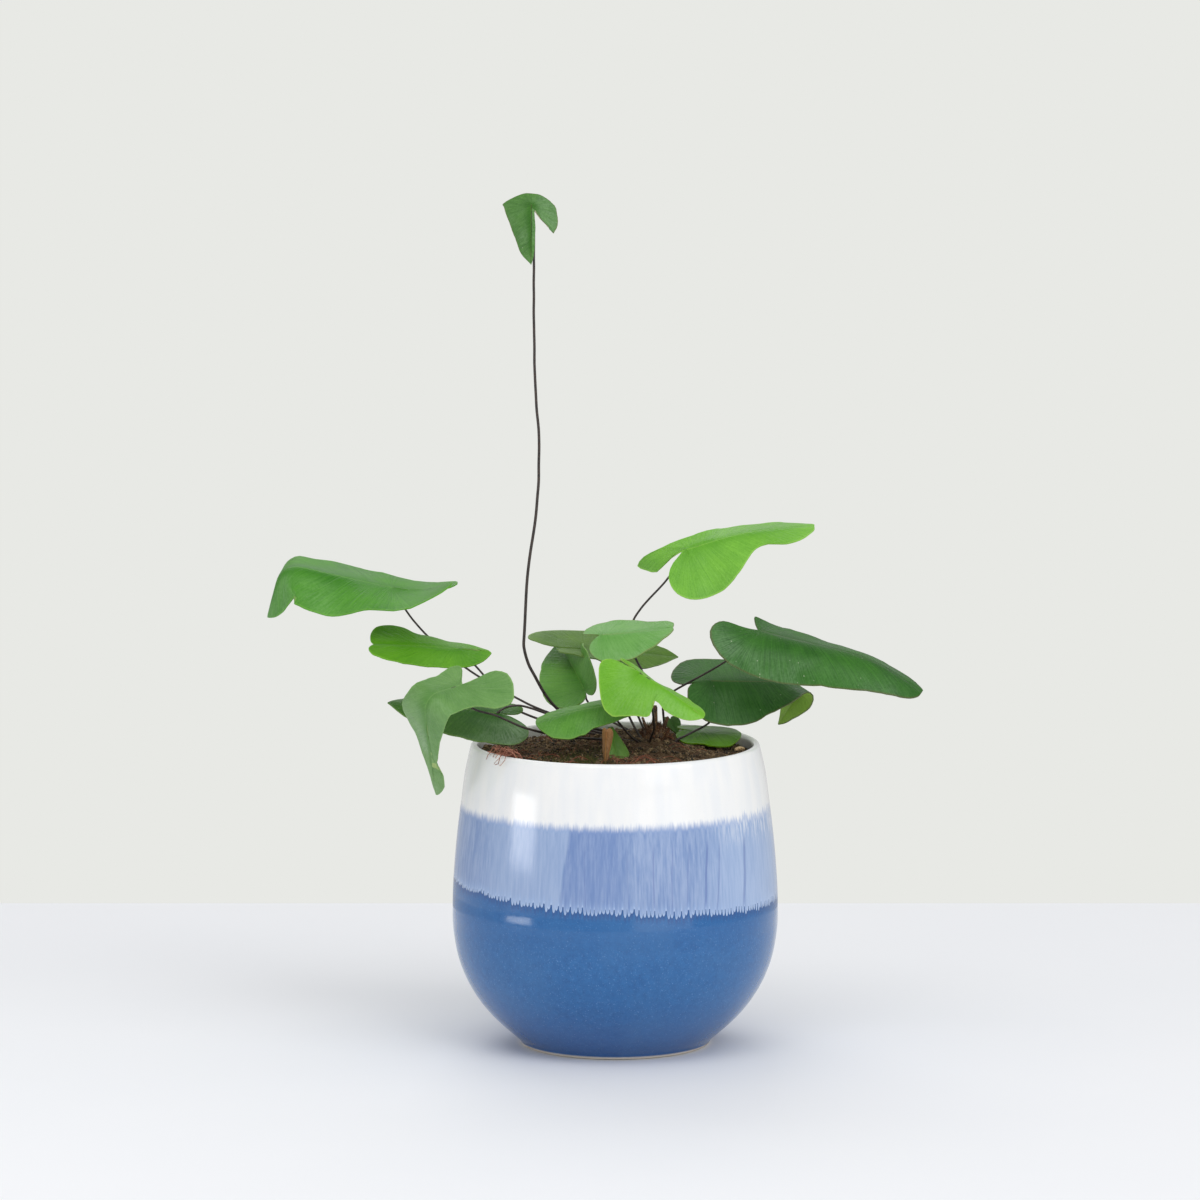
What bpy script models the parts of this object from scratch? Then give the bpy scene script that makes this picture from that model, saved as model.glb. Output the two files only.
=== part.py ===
"""Potted heart leaf fern: glazed pot, soil, crown and sixteen fronds. Lengths are in millimetres until a mesh is made."""
import math

import bpy
from mathutils import Vector

MM = 0.001
RIM_Z = 128.0
SOIL_RADIUS = 58.1
SOIL_EDGE_Z = 123.2
SOIL_RISE = 4.2
HOLE_RADIUS = 1.25
HOLE_DEPTH = 6.0
BLADE_THICKNESS = 0.75
STIPE_RADIUS = 0.55
STIPE_SIDES = 6
CROWN_CENTRE = (17.0, 4.0)
CROWN_HOLE_RADIUS = 5.2
CROWN_HOLE_Z = 123.4

# Pot profile as (radius, height), from the foot up the outside and down the inside.
POT_OUTSIDE = (
    (39.2, 0.0), (40.2, 0.9), (41.0, 2.6), (45.4, 6.0), (49.6, 9.0), (52.9, 13.0), (55.7, 16.0), (58.4, 19.5),
    (60.7, 23.0), (62.4, 26.0), (63.8, 30.0), (66.3, 36.0), (67.8, 43.0), (68.6, 50.0), (68.7, 57.0), (68.5, 67.0),
    (67.6, 80.0), (66.4, 92.0), (64.9, 104.0), (63.3, 116.0), (61.2, 125.6), (60.6, 127.2))
POT_INSIDE = (
    (59.7, RIM_Z), (58.7, RIM_Z), (58.0, 127.2), (57.9, 125.6), (59.6, 118.0), (61.6, 104.0), (64.0, 86.0),
    (65.2, 68.0), (65.3, 54.0), (63.8, 40.0), (59.6, 27.0), (52.8, 17.6), (45.6, 11.6), (37.0, 7.6), (28.0, 6.6))

# Stations along a blade, as a share of its length, for the tables of each leaf.
MARGIN_AT = (-0.3, 0.05, 0.25, 0.45, 0.65, 0.85, 1.0)
FOLD_AT = (-0.35, 0.1, 0.4, 0.7, 1.0)
CURL_AT = (-0.35, 0.3, 1.0)
LEVEL = ((0, 0, 0, 0, 0), (0, 0, 0))
# End of a stipe from the joint, along and across the midrib and upward.
TAIL = (-1.4, 0.0, -1.6)

GREEN_DEEP = (0.045, 0.125, 0.035)
GREEN_DARK = (0.05, 0.14, 0.045)
GREEN_MID = (0.12, 0.31, 0.075)
GREEN_LIGHT = (0.16, 0.42, 0.07)
GREEN_OLIVE = (0.12, 0.2, 0.06)
GREEN_GREY = (0.14, 0.29, 0.1)

# joint is where stipe and blade meet; left and right are the two wings as folds and curls in degrees;
# margins widen or narrow each wing; bend turns the midrib down between two stations.
LEAVES = {
    "far_left": dict(
        joint=(-93.8, 12.0, 192.0), heading=181, pitch=14, roll=-8, length=66, width=44, lobe=30, blunt=0.5,
        bend=((80, 0.5, 0.8),), back=(-52, -30), color=GREEN_MID,
        left=((-4, 10, 28, 27, 25), (5, 12, 5)), right=((5, 4, 4, 4, 5), (0, 0, 0)),
        margins=((1, 0.9, 1, 1, 1.05, 1.1, 1), (1, 1, 1, 1, 1.05, 1.2, 1))),
    "left": dict(
        joint=(-66.1, 2.0, 167.5), heading=184, pitch=11, roll=-14, length=36, width=28, lobe=14, blunt=0.9,
        bend=((4, 0, 1),), back=(-18, 4), color=GREEN_LIGHT,
        left=((0, 20, 20, 18, 15), (5, 10, 5)), right=((5, 5, 5, 5, 5), (0, 0, 0)),
        margins=((1, 1, 1.1, 1.2, 1.3, 1.4, 1), (1, 1, 1, 1.2, 1.2, 1.2, 1))),
    "front_left": dict(
        joint=(-73.2, -40.0, 152.3), heading=223, pitch=-33, roll=-26, length=59, width=42, lobe=27,
        bend=((104, 0, 0.6),), color=GREEN_GREY, lobes=(1.3, 0.9), bite=(0.72, 0.05, 0.5), slant=0.4,
        left=((18, 18, 20, 25, 30), (5, 15, 20)), right=((10, 20, 26, 30, 35), (0, 10, 10)),
        margins=((1.2, 0.45, 0.38, 0.45, 0.5, 0.85, 1), (0.8, 1, 0.8, 0.45, 0.25, 0.3, 1))),
    "low_left": dict(
        joint=(-49.7, -12.0, 142.2), heading=182, pitch=8, roll=-12, length=46, width=32, lobe=12, blunt=0.4,
        bend=((4, 0, 1),), color=GREEN_DEEP, tail=(-1.2, 0.2, 1.5),
        left=((45, 26, 20, 20, 18), (5, 12, 5)), right=((-14, -8, -4, 0, 0), (0, 0, 0)),
        margins=((1, 1, 1.05, 1.15, 1.3, 1.3, 1), (0.7, 0.6, 0.6, 0.8, 1, 1, 1))),
    "back_left": dict(
        joint=(-12.3, 34.0, 162.7), heading=8, pitch=-4, roll=27, length=40, width=32, lobe=25,
        bend=((4, 0, 1),), color=GREEN_OLIVE, lobes=(1.0, 0.75), tail=(0.4, 0, -1.8),
        margins=((1, 1, 1, 1, 1, 1, 1), (0.7, 0.7, 1, 1, 1, 1, 1))),
    "upper_centre": dict(
        joint=(-5.6, 0.0, 173.7), heading=-2, pitch=5, roll=0, length=30, width=30, lobe=8, blunt=0.5,
        bend=((-4, 0, 1),), back=(20, 20), color=GREEN_GREY,
        left=((-10, -12, -12, -10, -8), (0, 0, 0)), right=((38, 36, 34, 28, 20), (10, 10, 0)),
        margins=((1, 1, 1, 1, 1, 1.1, 1), (1, 1, 1, 1.1, 1.0, 0.8, 1))),
    "centre": dict(
        joint=(10.4, -34.0, 162.5), heading=-22, pitch=-28, roll=22, length=33, width=36, lobe=18,
        bend=((8, 0, 1),), color=GREEN_LIGHT, lobes=(0.6, 0.85),
        left=((35, 40, 36, 30, 20), (0, 0, 0)), right=((40, 38, 30, 25, 25), (15, 30, 10)),
        margins=((1, 1, 1, 1, 1, 1, 1), (1.25, 1.25, 1.08, 0.6, 0.72, 1, 1))),
    "low_centre": dict(
        joint=(-3.5, -21.0, 146.8), heading=190, pitch=-6, roll=-18, length=31, width=28, lobe=17, blunt=0.8,
        bend=((16, 0, 1),), color=GREEN_MID,
        left=((10, 20, 18, 15, 15), (10, 15, 5)), right=((0, 5, 5, 5, 5), (0, 0, 0)),
        margins=((0.7, 0.8, 0.9, 1.15, 1.35, 1.4, 1), (1, 1, 1, 1.2, 1.2, 1.1, 1))),
    "upper_right": dict(
        joint=(30.5, 20.0, 207.4), heading=2, pitch=18, roll=14, length=55, width=42, lobe=21,
        bend=((16, 0, 1),), back=(34, 10), color=GREEN_LIGHT,
        left=((-6, 8, 8, 8, 8), (0, 0, 0)), right=((38, 40, 28, 14, 8), (15, 25, 0)),
        edges=((((-1.6, 0), (-17, 7.2), (-21.5, 10.6), (-19, 14), (-14, 17.2), (-8, 19.6), (-2, 20.6), (3, 21)),
                ((3, 21), (15, 20), (27, 16), (40, 9), (50, 3.5), (55, 0))),
               (((-1.6, 0), (-8.4, 4.6), (-11.5, 8.4), (-12.4, 13), (-11, 17.6), (-7.4, 21), (-2, 23), (4, 23)),
                ((4, 23), (12, 21.5), (20, 17), (27, 10), (33, 7.5), (41, 9), (49, 7), (55, 0))))),
    "back_centre": dict(
        joint=(-13.1, 22.0, 147.4), heading=112, pitch=32, roll=-10, length=34, width=34, lobe=10, blunt=0.5,
        bend=((10, 0, 1),), back=(-10, -10), color=GREEN_OLIVE,
        left=((5, 10, 10, 10, 10), (0, 0, 0)), right=((-35, -20, -10, 0, 0), (0, 0, 0)),
        margins=((1, 1, 1, 1, 1, 1, 1), (0.8, 0.8, 0.8, 0.8, 0.8, 0.8, 1))),
    "right": dict(
        joint=(56.6, -10.0, 178.2), tail=(-1.4, 0, -1.15), heading=-14, pitch=-16, roll=12, length=78, width=42, lobe=19, blunt=0.5,
        bend=((4, 0, 1),), back=(-5, -16), color=GREEN_DARK,
        left=((-16, 4, 7, 8, 6), (0, 0, 0)), right=((-22, -8, -6, 0, 5), (50, 80, 55)),
        edges=((((-1.6, 0), (-4, 2), (-6, 6), (-6, 11), (-4, 15), (2, 17)),
                ((2, 17), (16, 17), (32, 15.5), (48, 13), (63, 9), (74, 4), (78, 0))),
               (((-1.6, 0), (-13, 6.6), (-17, 10.5), (-18, 15), (-16.4, 19.6), (-12, 22.6), (-4, 23.4), (4, 23)),
                ((4, 23), (18, 21.6), (34, 18.5), (50, 15), (64, 10.5), (75, 5.5), (78, 0))))),
    "low_right": dict(
        joint=(40.6, 4.0, 153.6), heading=24, pitch=-1, roll=12, length=61, width=40, lobe=18, blunt=0.45,
        bend=((118, 0.58, 0.8),), color=GREEN_DEEP, lobes=(1.1, 0.8), slant=0.4,
        left=((-22, -24, -18, -5, -5), (0, 0, 0)), right=((35, 42, 30, -5, -5), (15, 22, -25)),
        margins=((1, 1, 1, 1, 1.1, 1.3, 1), (1, 1, 1, 0.85, 0.9, 1.0, 1))),
    "rim_right": dict(
        joint=(31.4, 8.0, 132.0), heading=-4, pitch=-2, roll=22, length=22, width=20, lobe=6, blunt=0.9, tail=(-1.2, 0, -1.5),
        bend=((5, 0, 1),), color=GREEN_LIGHT, small=True,
        left=((5, 5, 5, 5, 5), (0, 0, 0)), right=((5, 5, 5, 5, 5), (0, 0, 0)),
        margins=((1, 1, 1, 1.1, 1.2, 1.3, 1), (1, 1, 1, 1.1, 1.2, 1.3, 1))),
    "small_back": dict(
        joint=(23.8, 24.0, 133.6), heading=-60, pitch=-40, roll=0, length=7, width=8, lobe=2.5,
        color=GREEN_DARK, small=True),
    "small_front": dict(
        joint=(-1.8, -26.0, 137.7), heading=-60, pitch=-55, roll=0, length=12, width=9, lobe=2.5,
        color=GREEN_MID, small=True),
    "fertile": dict(
        joint=(-35.0, 0.0, 354.6), heading=-95, pitch=-80, roll=0, length=25, width=26, lobe=6,
        back=(40, 40), color=GREEN_OLIVE,
        left=((20, 20, 14, 10, 10), (28, 20, 10)), right=((15, 20, 25, 30, 30), (10, 15, 10)),
        edges=((((-5, 0), (-5.3, 4), (-3.5, 8.5), (1.5, 11.5), (8, 11.8), (12, 10)),
                ((12, 10), (9.4, 6), (6.8, 3), (8, 1.6), (14, 1.3), (20, 1), (25, 0))),
               (((-5, 0), (-6, 4), (-5, 11), (-1, 14), (3, 12.5), (6, 11.5)),
                ((6, 11.5), (11, 10), (16, 8), (21, 4.5), (25, 0))))),
}
DRY_LEAFLET = dict(
    joint=(-3.8, -40.5, 138.4), heading=-100, pitch=-78, roll=0, length=13, width=9, lobe=2, small=True,
    left=((30, 35, 38, 40, 40), (40, 45, 45)), right=((25, 30, 35, 35, 35), (35, 40, 40)))

# Stipes as the points between the joint and the place where they enter the soil, which comes last.
STIPES = {
    "far_left": ((-88.3, 15, 182), (-79.1, 19.5, 170.2), (-61, 15, 156), (-42.1, 9, 145.8), (-29.9, 6.4, 140.4),
                 (-9.8, 6.4, 133.4), (6, 8)),
    "left": ((-57.7, 2, 159), (-45.1, 2, 144.6), (-35.8, 2.4, 138.9), (-14.8, 2.4, 132.3), (5.5, 3)),
    "front_left": ((-59.8, -34, 147.9), (-49.3, -28, 143.5), (-36.7, -22, 137.2), (-19, -14, 132.4), (6, -6.5)),
    "low_left": ((-44.6, -11.4, 145), (-39, -10, 145), (-29.5, -8, 141.7), (-12.3, -3, 134.2), (4.5, -1.8)),
    "back_left": ((-6, 33, 159.2), (2, 30, 153.5), (8, 22, 140), (13, 13.8)),
    "upper_centre": ((-5.6, 1, 167.5), (-1.4, 2, 158.6), (4.5, 0, 141.9), (11, -2.5)),
    "centre": ((12.5, -31, 156), (15, -26, 148), (16.2, -15, 137), (14.5, -6.8)),
    "low_centre": ((0.6, -17, 140.2), (6.4, -12, 132.4), (9.5, -9)),
    "upper_right": ((22.2, 20, 195), (10.8, 21, 181.9), (6.6, 21, 173), (8.3, 18, 162.4), (12.9, 15.5, 152.6),
                    (15.8, 14, 141), (16.4, 13.2)),
    "back_centre": ((-11, 19.4, 141.6), (-2.5, 15, 135.2), (9.5, 11)),
    "right": ((45.7, -4, 162.6), (24.2, 4, 149), (20.4, 8.6, 143.5), (20.6, 10.6, 135.4), (21, 11.6)),
    "low_right": ((40.8, 7.4, 147), (40.6, 4.4, 137), (31.4, 1.2, 131.6), (26, 0.5)),
    "rim_right": ((28.9, 8.2, 129.8), (27, 8.3)),
    "small_back": ((23, 27, 133), (22.6, 28.6)),
    "small_front": ((-1, -24, 133.2), (1, -21)),
    "fertile": ((-34, 3, 347), (-34.1, 4, 329.1), (-34.1, 4, 310.8), (-33.9, 4, 292.4), (-33.3, 4, 274),
                (-32, 4, 255.8), (-32.3, 4, 238.8), (-33.5, 4, 221.9), (-36.7, 4.5, 200.1), (-38.3, 5, 173.3),
                (-37.9, 5.6, 165.1), (-34.1, 7, 155.5), (-24.9, 9.4, 141.2), (-10.6, 10.8, 132.8), (4, 12.5)),
}


def smooth(t):
    """Ease between 0 and 1."""
    return t * t * (3 - 2 * t)


def along(values, share, stations):
    """Value of a leaf table at a share of the blade's length."""
    if share <= stations[0]:
        return values[0]
    for start, end, first, second in zip(stations, stations[1:], values, values[1:]):
        if share <= end:
            return first + (second - first) * smooth((share - start) / (end - start))
    return values[-1]


def curve_through(points, steps):
    """Points on a smooth curve through the given ones, with so many steps in all."""
    before = tuple(2 * a - b for a, b in zip(points[0], points[1]))
    after = tuple(2 * a - b for a, b in zip(points[-1], points[-2]))
    padded = [before] + list(points) + [after]
    spans = len(points) - 1
    result = []
    for step in range(steps + 1):
        place = min(step / steps * spans, spans - 1e-9)
        i = int(place)
        t = place - i
        result.append(tuple(
            0.5 * (2 * b + (c - a) * t + (2 * a - 5 * b + 4 * c - d) * t * t + (3 * b - 3 * c + d - a) * t ** 3)
            for a, b, c, d in zip(*padded[i:i + 4])))
    return result


def bezier(corners, t):
    """Point on a cubic curve in the plane."""
    weights = ((1 - t) ** 3, 3 * (1 - t) ** 2 * t, 3 * (1 - t) * t * t, t ** 3)
    return tuple(sum(w * c[i] for w, c in zip(weights, corners)) for i in (0, 1))


def heart_margin(leaf, side, lobe_steps, side_steps):
    """Margin of one flat wing from sinus to tip, as (x along the midrib, y out, x of the rib's start)."""
    length = leaf["length"]
    half = leaf["width"] / 2
    lobe = leaf["lobe"]
    blunt = leaf.get("blunt", 0.25)
    wing = 0 if side > 0 else 1
    reached = (0.86 if leaf.get("small") else 0.96) * length
    starts = [reached * (i / side_steps) ** 1.25 for i in range(side_steps + 1)]
    if "edges" in leaf:
        lobe_edge, side_edge = leaf["edges"][wing]
        flat = curve_through(lobe_edge, lobe_steps)[:-1] + curve_through(side_edge, side_steps)
        return [(x, y, start) for (x, y), start in zip(flat, [0.0] * lobe_steps + starts)]
    sinus = -0.03 * length
    shoulder = 0.08 * length
    opening = leaf.get("opening", 0.04) * half
    lobe_corners = ((sinus, 0), (sinus - 1.15 * lobe, opening), (-1.22 * lobe, half), (shoulder, half))
    blunt_x = length * (0.88 + 0.28 * max(0.0, blunt - 0.5))
    side_corners = ((shoulder, half), (shoulder + 0.38 * length, half), (blunt_x, 1.2 * blunt * half), (length, 0))
    flat = [bezier(side_corners, i / side_steps) for i in range(side_steps + 1)]
    slant = leaf.get("slant", 1.0)
    for i in range(1, side_steps):
        starts[i] = flat[i][0] + slant * (starts[i] - flat[i][0])
    starts = [0.0] * lobe_steps + starts
    flat = [bezier(lobe_corners, i / lobe_steps) for i in range(lobe_steps)] + flat
    reach = leaf.get("lobes", (1, 1))[wing]
    margins = leaf.get("margins")
    result = []
    for (x, y), start in zip(flat, starts):
        share = x / length
        wide = along(margins[wing], share, MARGIN_AT) if margins else 1.0
        if "bite" in leaf and side > 0:
            middle, spread, depth = leaf["bite"]
            wide *= 1 - depth * math.exp(-((share - middle) / spread) ** 2)
        if x < 0:
            x *= 1 + (reach - 1) * min(1.0, y / (0.3 * half))
        result.append((x, y * wide, start))
    return result


def midrib_slope(leaf, x, side):
    """Downward angle of the midrib at x, in radians."""
    if x < 0:
        back = leaf.get("back", (0, 0))[0 if side > 0 else 1]
        return math.radians(back * x / leaf["lobe"])
    share = x / leaf["length"]
    angle = sum(total * smooth(min(1.0, max(0.0, (share - start) / (end - start))))
                for total, start, end in leaf.get("bend", ((10, 0, 1),)))
    return math.radians(angle)


def blade_point(leaf, x, y):
    """Place in the frame of a point of the flat blade."""
    side = 1 if y >= 0 else -1
    half = leaf["width"] / 2
    folds, curls = leaf.get("left" if side > 0 else "right", LEVEL)
    share = x / leaf["length"]
    fold = math.radians(along(folds, share, FOLD_AT))
    curl = math.radians(along(curls, share, CURL_AT))
    out = abs(y)
    if abs(curl) > 1e-4:
        radius = half / curl
        across = radius * (math.sin(fold + curl * out / half) - math.sin(fold))
        up = radius * (math.cos(fold + curl * out / half) - math.cos(fold))
    else:
        across = out * math.cos(fold)
        up = -out * math.sin(fold)
    steps = 24
    rib_x = 0.0
    rib_z = 0.0
    for i in range(steps):
        slope = midrib_slope(leaf, x * (i + 0.5) / steps, side)
        rib_x += math.cos(slope) * x / steps
        rib_z -= math.sin(slope) * x / steps
    slope = midrib_slope(leaf, x, side)
    local = Vector((rib_x + up * math.sin(slope), side * across, rib_z + up * math.cos(slope)))
    return turned(leaf, local) + Vector(leaf["joint"])


def blade_normal(leaf, x, y):
    """Upward direction square to the blade; on the midrib it is shared by both wings."""
    step = 0.3
    total = Vector((0, 0, 0))
    for side in (1, -1):
        if y * side >= 0:
            near = blade_point(leaf, x, y + side * 1e-4)
            across = (blade_point(leaf, x, y + side * step) - near) * side
            forward = blade_point(leaf, x + step, y + side * 1e-4) - near
            total += forward.cross(across).normalized()
    return total.normalized()


def turned(leaf, local):
    """Turn a direction of the blade by its roll, pitch and heading."""
    roll, pitch, heading = (math.radians(leaf[name]) for name in ("roll", "pitch", "heading"))
    x, y, z = local
    y, z = y * math.cos(roll) - z * math.sin(roll), y * math.sin(roll) + z * math.cos(roll)
    x, z = x * math.cos(pitch) - z * math.sin(pitch), x * math.sin(pitch) + z * math.cos(pitch)
    x, y = x * math.cos(heading) - y * math.sin(heading), x * math.sin(heading) + y * math.cos(heading)
    return Vector((x, y, z))


def add_object(name, points, faces, color, roughness=0.5):
    """Object with its own material from points in millimetres."""
    mesh = bpy.data.meshes.new(name)
    mesh.from_pydata([tuple(c * MM for c in p) for p in points], [], faces)
    mesh.update()
    mesh.polygons.foreach_set("use_smooth", [True] * len(mesh.polygons))
    material = bpy.data.materials.new(name + "_material")
    material.use_nodes = True
    shader = material.node_tree.nodes["Principled BSDF"]
    shader.inputs["Base Color"].default_value = (*color, 1.0)
    shader.inputs["Roughness"].default_value = roughness
    mesh.materials.append(material)
    obj = bpy.data.objects.new(name, mesh)
    bpy.context.collection.objects.link(obj)
    return obj


def add_blade(name, leaf, color):
    """Heart-shaped blade: triangles alike on both faces, and a rim between them."""
    lobe_steps, side_steps, rings = (5, 6, 2) if leaf.get("small") else (7, 9, 3)
    middle = []
    normals = []
    triangles = []
    ribs = []

    def add_point(x, y):
        middle.append(blade_point(leaf, x, y))
        normals.append(blade_normal(leaf, x, y))
        return len(middle) - 1

    joint = add_point(0, 0)
    midrib = {}
    ends = {}
    for side in (1, -1):
        margin = heart_margin(leaf, side, lobe_steps, side_steps)
        columns = []
        for i, (x, y, start) in enumerate(margin):
            shared = i in (0, len(margin) - 1)
            if shared and i in ends:
                columns.append(ends[i])
                continue
            if start == 0:
                column = [joint]
            else:
                if i not in midrib:
                    midrib[i] = add_point(start, 0)
                column = [midrib[i]]
            for ring in range(1, rings + 1):
                t = ring / rings
                column.append(add_point(start + (x - start) * t, 0 if shared else side * y * t))
            if shared:
                ends[i] = column
            columns.append(column)
        ribs.append((side, columns))
    for side, columns in ribs:
        for first, second in zip(columns, columns[1:]):
            for ring in range(rings):
                a, b = first[ring:ring + 2]
                d, c = second[ring:ring + 2]
                for triangle in [(a, b, c)] if a == d else [(a, b, c), (a, c, d)]:
                    triangles.append(triangle[::-1] if side > 0 else triangle)
    half = BLADE_THICKNESS / 2
    points = [p + n * half for p, n in zip(middle, normals)] + [p - n * half for p, n in zip(middle, normals)]
    under = len(middle)
    edges = {(t[i], t[(i + 1) % 3]) for t in triangles for i in range(3)}
    faces = triangles + [(a + under, c + under, b + under) for a, b, c in triangles]
    for a, b in sorted(edges):
        if (b, a) not in edges:
            faces.append((a, a + under, b + under))
            faces.append((a, b + under, b))
    return add_object(name, points, faces, color)


def tube(path, radii, sides):
    """Points and faces of a closed tube along a path."""
    path = [Vector(p) for p in path]
    points = []
    faces = []
    side_way = None
    for i, (place, radius) in enumerate(zip(path, radii)):
        way = (path[min(i + 1, len(path) - 1)] - path[max(i - 1, 0)]).normalized()
        if side_way is None:
            side_way = way.cross(Vector((0.3, 1.0, 0.1))).normalized()
        side_way = (side_way - way * side_way.dot(way)).normalized()
        other = way.cross(side_way)
        for k in range(sides):
            angle = 2 * math.pi * k / sides
            points.append(place + radius * (math.cos(angle) * side_way + math.sin(angle) * other))
    for i in range(len(path) - 1):
        for k in range(sides):
            n = (k + 1) % sides
            a = i * sides
            faces.append((a + k, a + n, a + sides + n, a + sides + k))
    faces.append(tuple(reversed(range(sides))))
    faces.append(tuple(range(len(points) - sides, len(points))))
    return points, faces


def soil_height(x, y):
    """Top of the soil, a little higher in the middle."""
    return SOIL_EDGE_Z + SOIL_RISE * (1 - (x * x + y * y) / SOIL_RADIUS ** 2)


def add_stipe(name, leaf, points):
    """Wiry stipe from its hole in the soil to just below the blade."""
    x, y = points[-1]
    ground = soil_height(x, y)
    top = Vector(leaf["joint"]) + turned(leaf, Vector(leaf.get("tail", TAIL)))
    path = [tuple(top)] + [tuple(p) for p in points[:-1]]
    path += [(x, y, ground + 2.4), (x, y, ground + 0.7), (x, y, ground - HOLE_DEPTH + 0.5)]
    steps = 2 * (len(path) - 1)
    smooth_path = curve_through(path, steps)[::-1]
    thick = 1.3 if name == "stipe_fertile" else 1.0
    radii = [STIPE_RADIUS * thick * (1.12 - 0.22 * i / steps) for i in range(steps + 1)]
    tube_points, faces = tube(smooth_path, radii, STIPE_SIDES)
    return add_object(name, tube_points, faces, (0.025, 0.02, 0.02), 0.35)


def add_turned(name, profile, sides, color, roughness):
    """Solid of revolution about the upright axis; the profile's ends close on the axis."""
    points = []
    faces = []
    for radius, z in profile:
        for k in range(sides):
            angle = 2 * math.pi * k / sides
            points.append((radius * math.cos(angle), radius * math.sin(angle), z))
    bottom = len(points)
    points.append((0, 0, profile[0][1]))
    points.append((0, 0, profile[-1][1]))
    for i in range(len(profile) - 1):
        for k in range(sides):
            n = (k + 1) % sides
            a = i * sides
            faces.append((a + k, a + n, a + sides + n, a + sides + k))
    last = (len(profile) - 1) * sides
    for k in range(sides):
        n = (k + 1) % sides
        faces.append((k, bottom, n))
        faces.append((last + k, last + n, bottom + 1))
    return add_object(name, points, faces, color, roughness)


def add_pot():
    """Pot with a rounded lip, a thin wall and a solid flat foot."""
    return add_turned("pot", POT_OUTSIDE + POT_INSIDE + ((12.0, 6.4),), 48, (0.05, 0.14, 0.33), 0.2)


def add_soil():
    """Bed of soil that fills the pot, with a plain hole for each stipe and for the crown."""
    gap = 0.45
    profile = [(r - gap, z + gap * (1.6 if z < 14 else 0.0)) for r, z in POT_INSIDE[4:][::-1]]
    profile.append((SOIL_RADIUS, SOIL_EDGE_Z))
    profile += [(r, soil_height(r, 0)) for r in (44.0, 30.0, 15.0)]
    soil = add_turned("soil", profile, 48, (0.03, 0.02, 0.015), 0.95)
    cutters = bpy.data.collections.new("soil_holes")
    bpy.context.scene.collection.children.link(cutters)
    holes = [(points[-1][0], points[-1][1], HOLE_RADIUS) for points in STIPES.values()]
    holes.append((*CROWN_CENTRE, CROWN_HOLE_RADIUS))
    for number, (x, y, radius) in enumerate(holes):
        bottom = CROWN_HOLE_Z if radius == CROWN_HOLE_RADIUS else soil_height(x, y) - HOLE_DEPTH
        top = soil_height(x, y) + 6
        bpy.ops.mesh.primitive_cylinder_add(
            vertices=20 if radius > 2 else 10, radius=radius * MM, depth=(top - bottom) * MM,
            location=(x * MM, y * MM, (top + bottom) / 2 * MM))
        cutter = bpy.context.object
        cutter.name = "soil_hole_%02d" % number
        for owner in cutter.users_collection:
            owner.objects.unlink(cutter)
        cutters.objects.link(cutter)
    cut = soil.modifiers.new("holes", "BOOLEAN")
    cut.operation = "DIFFERENCE"
    cut.operand_type = "COLLECTION"
    cut.collection = cutters
    cut.solver = "EXACT"
    apply_and_clear(soil, cut, cutters)
    return soil


def apply_and_clear(obj, modifier, cutters):
    """Apply a Boolean and remove the objects that it used."""
    bpy.ops.object.select_all(action="DESELECT")
    bpy.context.view_layer.objects.active = obj
    obj.select_set(True)
    bpy.ops.object.modifier_apply(modifier=modifier.name)
    for other in list(cutters.objects):
        bpy.data.objects.remove(other)
    bpy.data.collections.remove(cutters)


def add_crown():
    """Short knobbly rhizome with the stubs of old stipes, its lower end in the soil."""
    rings = ((4.8, 123.8), (4.8, 127.6), (5.8, 128.6), (6.2, 130.4), (5.6, 132.4), (4.0, 134.0), (2.0, 134.9))
    sides = 16
    points = []
    faces = []
    for i, (radius, z) in enumerate(rings):
        for k in range(sides):
            angle = 2 * math.pi * k / sides
            bumps = 0 if i < 2 else 0.1 * math.sin(3 * angle + z) + 0.07 * math.sin(5 * angle - 2 * z)
            r = radius * (1 + bumps)
            points.append((CROWN_CENTRE[0] + r * math.cos(angle), CROWN_CENTRE[1] + r * math.sin(angle), z))
    for i in range(len(rings) - 1):
        for k in range(sides):
            n = (k + 1) % sides
            a = i * sides
            faces.append((a + k, a + n, a + sides + n, a + sides + k))
    faces.append(tuple(reversed(range(sides))))
    faces.append(tuple(range(len(points) - sides, len(points))))
    crown = add_object("crown", points, faces, (0.05, 0.035, 0.025), 0.9)
    stubs = bpy.data.collections.new("crown_stubs")
    bpy.context.scene.collection.children.link(stubs)
    for number, (foot, tip, radius) in enumerate((
            ((16.6, 4.2, 131.0), (16.8, 3.4, 143.4), 1.25),
            ((19.6, 4.6, 131.0), (22.2, 3.6, 138.6), 0.8),
            ((14.6, 2.4, 130.5), (12.0, 0.8, 136.6), 0.75),
            ((14.2, 6.0, 130.5), (11.4, 7.4, 137.8), 0.7))):
        tube_points, tube_faces = tube([foot, [(a + b) / 2 for a, b in zip(foot, tip)], tip],
                                       [radius * 1.1, radius, radius * 0.8], 7)
        stub = add_object("crown_stub_%d" % number, tube_points, tube_faces, (0.3, 0.25, 0.15))
        bpy.context.collection.objects.unlink(stub)
        stubs.objects.link(stub)
    join = crown.modifiers.new("stubs", "BOOLEAN")
    join.operation = "UNION"
    join.operand_type = "COLLECTION"
    join.collection = stubs
    join.solver = "EXACT"
    apply_and_clear(crown, join, stubs)
    while len(crown.data.materials) > 1:
        crown.data.materials.pop()
    crown.data.polygons.foreach_set("material_index", [0] * len(crown.data.polygons))
    return crown


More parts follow.
